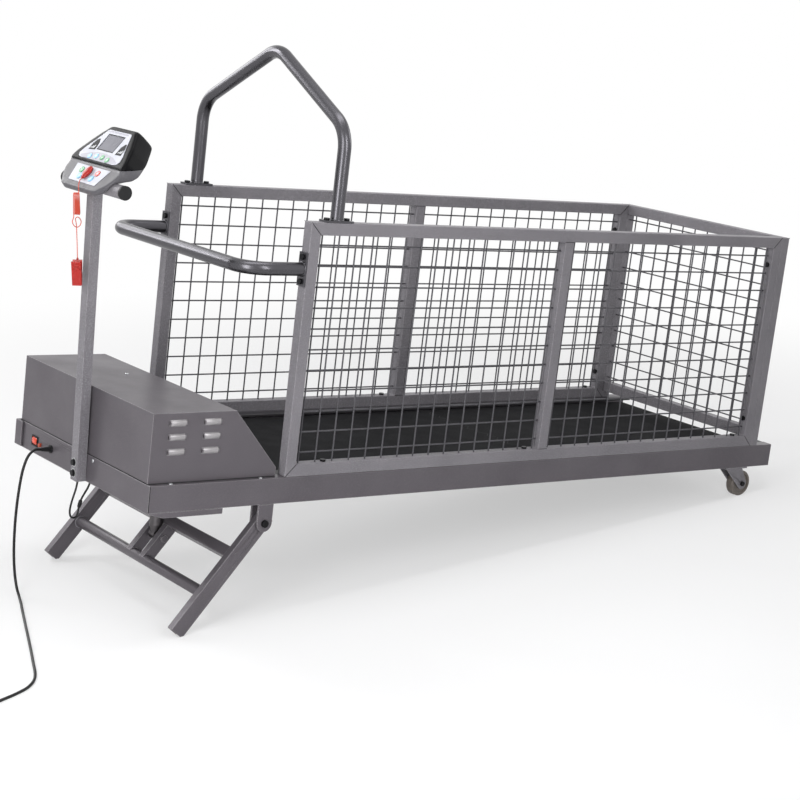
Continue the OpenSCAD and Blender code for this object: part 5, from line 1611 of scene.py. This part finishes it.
@dataclass
class Fittings:
    """Hood screws, a painted shadow line under the hood, pale louvre skins as painted highlight, the joints
    at the front corners and the column's washers.
    """

    hood_half: float = 313.5
    hood_l: float = 348.0
    vent_x: Row = (66.12, 158.34)
    vent_z: Row = (73.4, 108.1, 141.1)
    vent_r: float = 8.2
    vent_half: float = 20.5
    vent_in: float = 3.0
    vent_lip: Pair = (0.6, 1.0)
    vent_proud: float = 0.1
    column: Triple = (-2.0, -22.0, -66.0)
    column_lean_deg: float = 1.6
    column_d: float = 25.0
    bolt_z: Row = (19.035, 45.12)
    flange_x: Row = (56.7, 301.8)
    flange_y: float = 320.8
    top_screw: Triple = (154.4, 82.0, 165.0)
    pan_screw: Triple = (-2.0, -63.8, -9.0)
    screw_r: Row = (4.6, 4.9, 4.6, 3.6, 1.8)
    screw_z: Row = (0.02, 0.8, 1.7, 2.5, 2.9)
    slot_z: float = 2.8
    slot_round: float = 0.1
    slot_sizes: Rows = ((5.0, 1.0, 0.4), (1.0, 5.0, 0.4))
    painted_shadow_d: float = 2.0
    painted_shadow_out: float = 1.0
    painted_shadow_front: float = -0.8
    painted_shadow_back: float = 2.0
    painted_shadow_z: float = 1.0
    corners: Rows = ((-0.2, -328.0), (-2.0, 294.6))
    corner_z: Pair = (-63.0, -1.0)
    washer_r: Row = (10.6, 11.0, 11.0, 10.6)
    washer_z: Row = (0.02, 0.3, 1.0, 1.3)

    def screws(self) -> None:
        """Makes the pan-head screws of the hood and of the front pan."""
        heads, slots = Shape(), Shape()
        places = [Matrix.Translation((x, side * self.flange_y, 0)) for x in self.flange_x for side in (-1, 1)]
        places.append(Matrix.Translation(self.top_screw))
        places.append(Matrix.Translation(self.pan_screw) @ AHEAD)
        for place in places:
            heads.rod(self.screw_r, self.screw_z, place, sides=20)
            for size in self.slot_sizes:
                slots.box(size, place @ Matrix.Translation((0, 0, self.slot_z)), self.slot_round)
        settle(heads.piece("hood_screws", DECK.matrix()), Body.CHASSIS, "bright_steel", BRIGHT_STEEL)
        # the slot bars are dark plates on the heads: painted shade standing for the recessed slots
        settle(slots.piece("screw_slots", DECK.matrix()), Body.CHASSIS, "bolt_steel", SHADOW_GAP)

    def louvres(self) -> None:
        """Makes pale skins over the pressed louvres, open at their ends: painted highlight where the louvres
        face up into the light.
        """
        shape = Shape()
        r, half = self.vent_r, self.vent_half
        drawn, lip = self.vent_lip
        for x in self.vent_x:
            for z in self.vent_z:
                shape.rod([r - drawn, r, r, r - drawn], [-half, lip - half, half - lip, half],
                          Matrix.Translation((x, self.vent_in - self.hood_half, z)) @ ALONG, sides=40)
        shape.keep((0, -self.hood_half - self.vent_proud, 0), (0, -1, 0))
        shape.twin(Matrix.Diagonal((1, -1, 1, 1)))
        # pale coat on the skins: painted highlight on the louvres
        settle(shape.piece("louvre_skins_painted_highlight", DECK.matrix()), Body.CHASSIS, "sheet_coat", VENT_PAINTED_HIGHLIGHT)

    def painted_shadow(self) -> None:
        """Lays a dark strip under the hood as painted shadow below its edge, and a dark line in the joint at
        the front corners.
        """
        y, end = self.hood_half + self.painted_shadow_out, self.hood_l - self.painted_shadow_back
        turns = ((end, -y), (self.painted_shadow_front, -y), (self.painted_shadow_front, y), (end, y))
        foot = [DECK.mm(*q, self.painted_shadow_z) for q in turns]
        joints = [[DECK.mm(x, y, z) for z in self.corner_z] for x, y in self.corners]
        # a dark strand standing for the shadow under the hood's edge: painted shadow
        settle(strands("hood_painted_shadow", [foot, *joints], self.painted_shadow_d), Body.CHASSIS, "black_plastic", SHADOW_GAP)

    def washers(self) -> None:
        """Makes the bright washers under the heads of the column's bolts."""
        shape = Shape()
        stand = Matrix.Translation(self.column) @ Matrix.Rotation(math.radians(-self.column_lean_deg), 4, "Y")
        for z in self.bolt_z:
            place = stand @ Matrix.Translation((-self.column_d, 0, z)) @ AHEAD
            shape.rod(self.washer_r, self.washer_z, place, sides=32)
        settle(shape.piece("column_washers", DECK.matrix()), Body.CHASSIS, "bright_steel", BRIGHT_STEEL)

    def build(self) -> None:
        """Makes every fitting."""
        self.screws()
        self.louvres()
        self.painted_shadow()
        self.washers()


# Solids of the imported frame


@dataclass
class FrameDress:
    """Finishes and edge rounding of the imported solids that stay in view."""

    nodes: dict[str, Piece]
    finishes: dict[Finish, str] = field(default_factory=lambda: {
        FRAME_COAT: "side_panels rear_panel column lift_bridge wheel_brackets cross_members crossbar",
        STRIP_COAT_PAINTED_SHADE: "foot_strips",
        SHEET_COAT: "hood front_pan side_rails lift_legs leg_cross_tubes leg_lugs leg_brackets",
        TUBE_COAT: "guard_arch handlebar",
        WIRE_COAT: "mesh_near mesh_far mesh_rear",
        BLACK_STEEL: "frame_bolts axle_bolts",
        TURNED_STEEL: "roller_axles front_roller rear_roller motor_pulley",
        DRAWN_ALLOY: "actuator_tube",
        MOTOR_COAT: "drive_motor actuator_body",
        BLACK_PLASTIC: "crossbar_caps power_switch cord_gland",
        RESET_RED: "reset_button",
        ROCKER_RED: "power_rocker",
        OVERLAY_FILM: "console_face",
        SCREEN: "display",
        KEY_BLUE: "upper_key_1 upper_key_2 slower_key faster_key",
        KEY_GREEN: "upper_key_3 upper_key_4 start_key",
        KEY_RED: "stop_key",
        RED_PLASTIC: "clip_body clip_jaw",
        BOARD_RESIN: "control_board",
        WHEEL_NYLON: "wheel_near wheel_far",
        BOARD: "deck_board",
    })
    rounding: dict[float, str] = field(default_factory=lambda: {
        1.8: "side_panels rear_panel column lift_legs leg_cross_tubes",
        1.5: "side_rails hood front_pan",
        1.0: "leg_lugs crossbar_caps clip_body clip_jaw wheel_near wheel_far",
        0.6: "frame_bolts axle_bolts wheel_brackets leg_brackets console_face power_switch power_rocker"
             " foot_strips cord_gland",
        0.3: "upper_key_1 upper_key_2 upper_key_3 upper_key_4 start_key stop_key slower_key faster_key",
    })
    sharp_deg: float = 38.0

    def round_edges(self, node: Piece, width: float) -> None:
        """Rounds a solid's sharp edges.

        Args:
            node: the solid's object.
            width: width of the rounding in millimetres.
        """
        weld = node.modifiers.new("weld", "WELD")
        weld.merge_threshold = WELD_M
        bevel = node.modifiers.new("round", "BEVEL")
        bevel.limit_method = "ANGLE"
        bevel.angle_limit = math.radians(self.sharp_deg)
        bevel.width = width * MM
        bevel.segments = 2
        bevel.profile = 0.5
        bevel.harden_normals = True
        bevel.use_clamp_overlap = True

    def build(self) -> None:
        """Dresses each solid."""
        for finish, names in self.finishes.items():
            for name in names.split():
                node = self.nodes[name]
                node.data.materials.clear()
                node.data.materials.append(finish.material())
                LOG.info("solid %s: %s", name, finish.name)
        for width, names in self.rounding.items():
            for name in names.split():
                self.round_edges(self.nodes[name], width)


def main() -> None:
    """Builds the scene in order."""
    logging.basicConfig(level=logging.INFO, format="%(name)s: %(message)s")
    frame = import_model()
    Studio().build()
    PowerLead().build()
    SignalLead().build()
    Lanyard().build()
    FrameDress(frame["nodes"]).build()
    Console(frame["nodes"]).build()
    KeyGrip().build()
    ClipRibs().build()
    FacePrint().build()
    KeySigns().build()
    Belts().build()
    FrameJoints().build()
    Fittings().build()


if __name__ == "__main__":
    main()
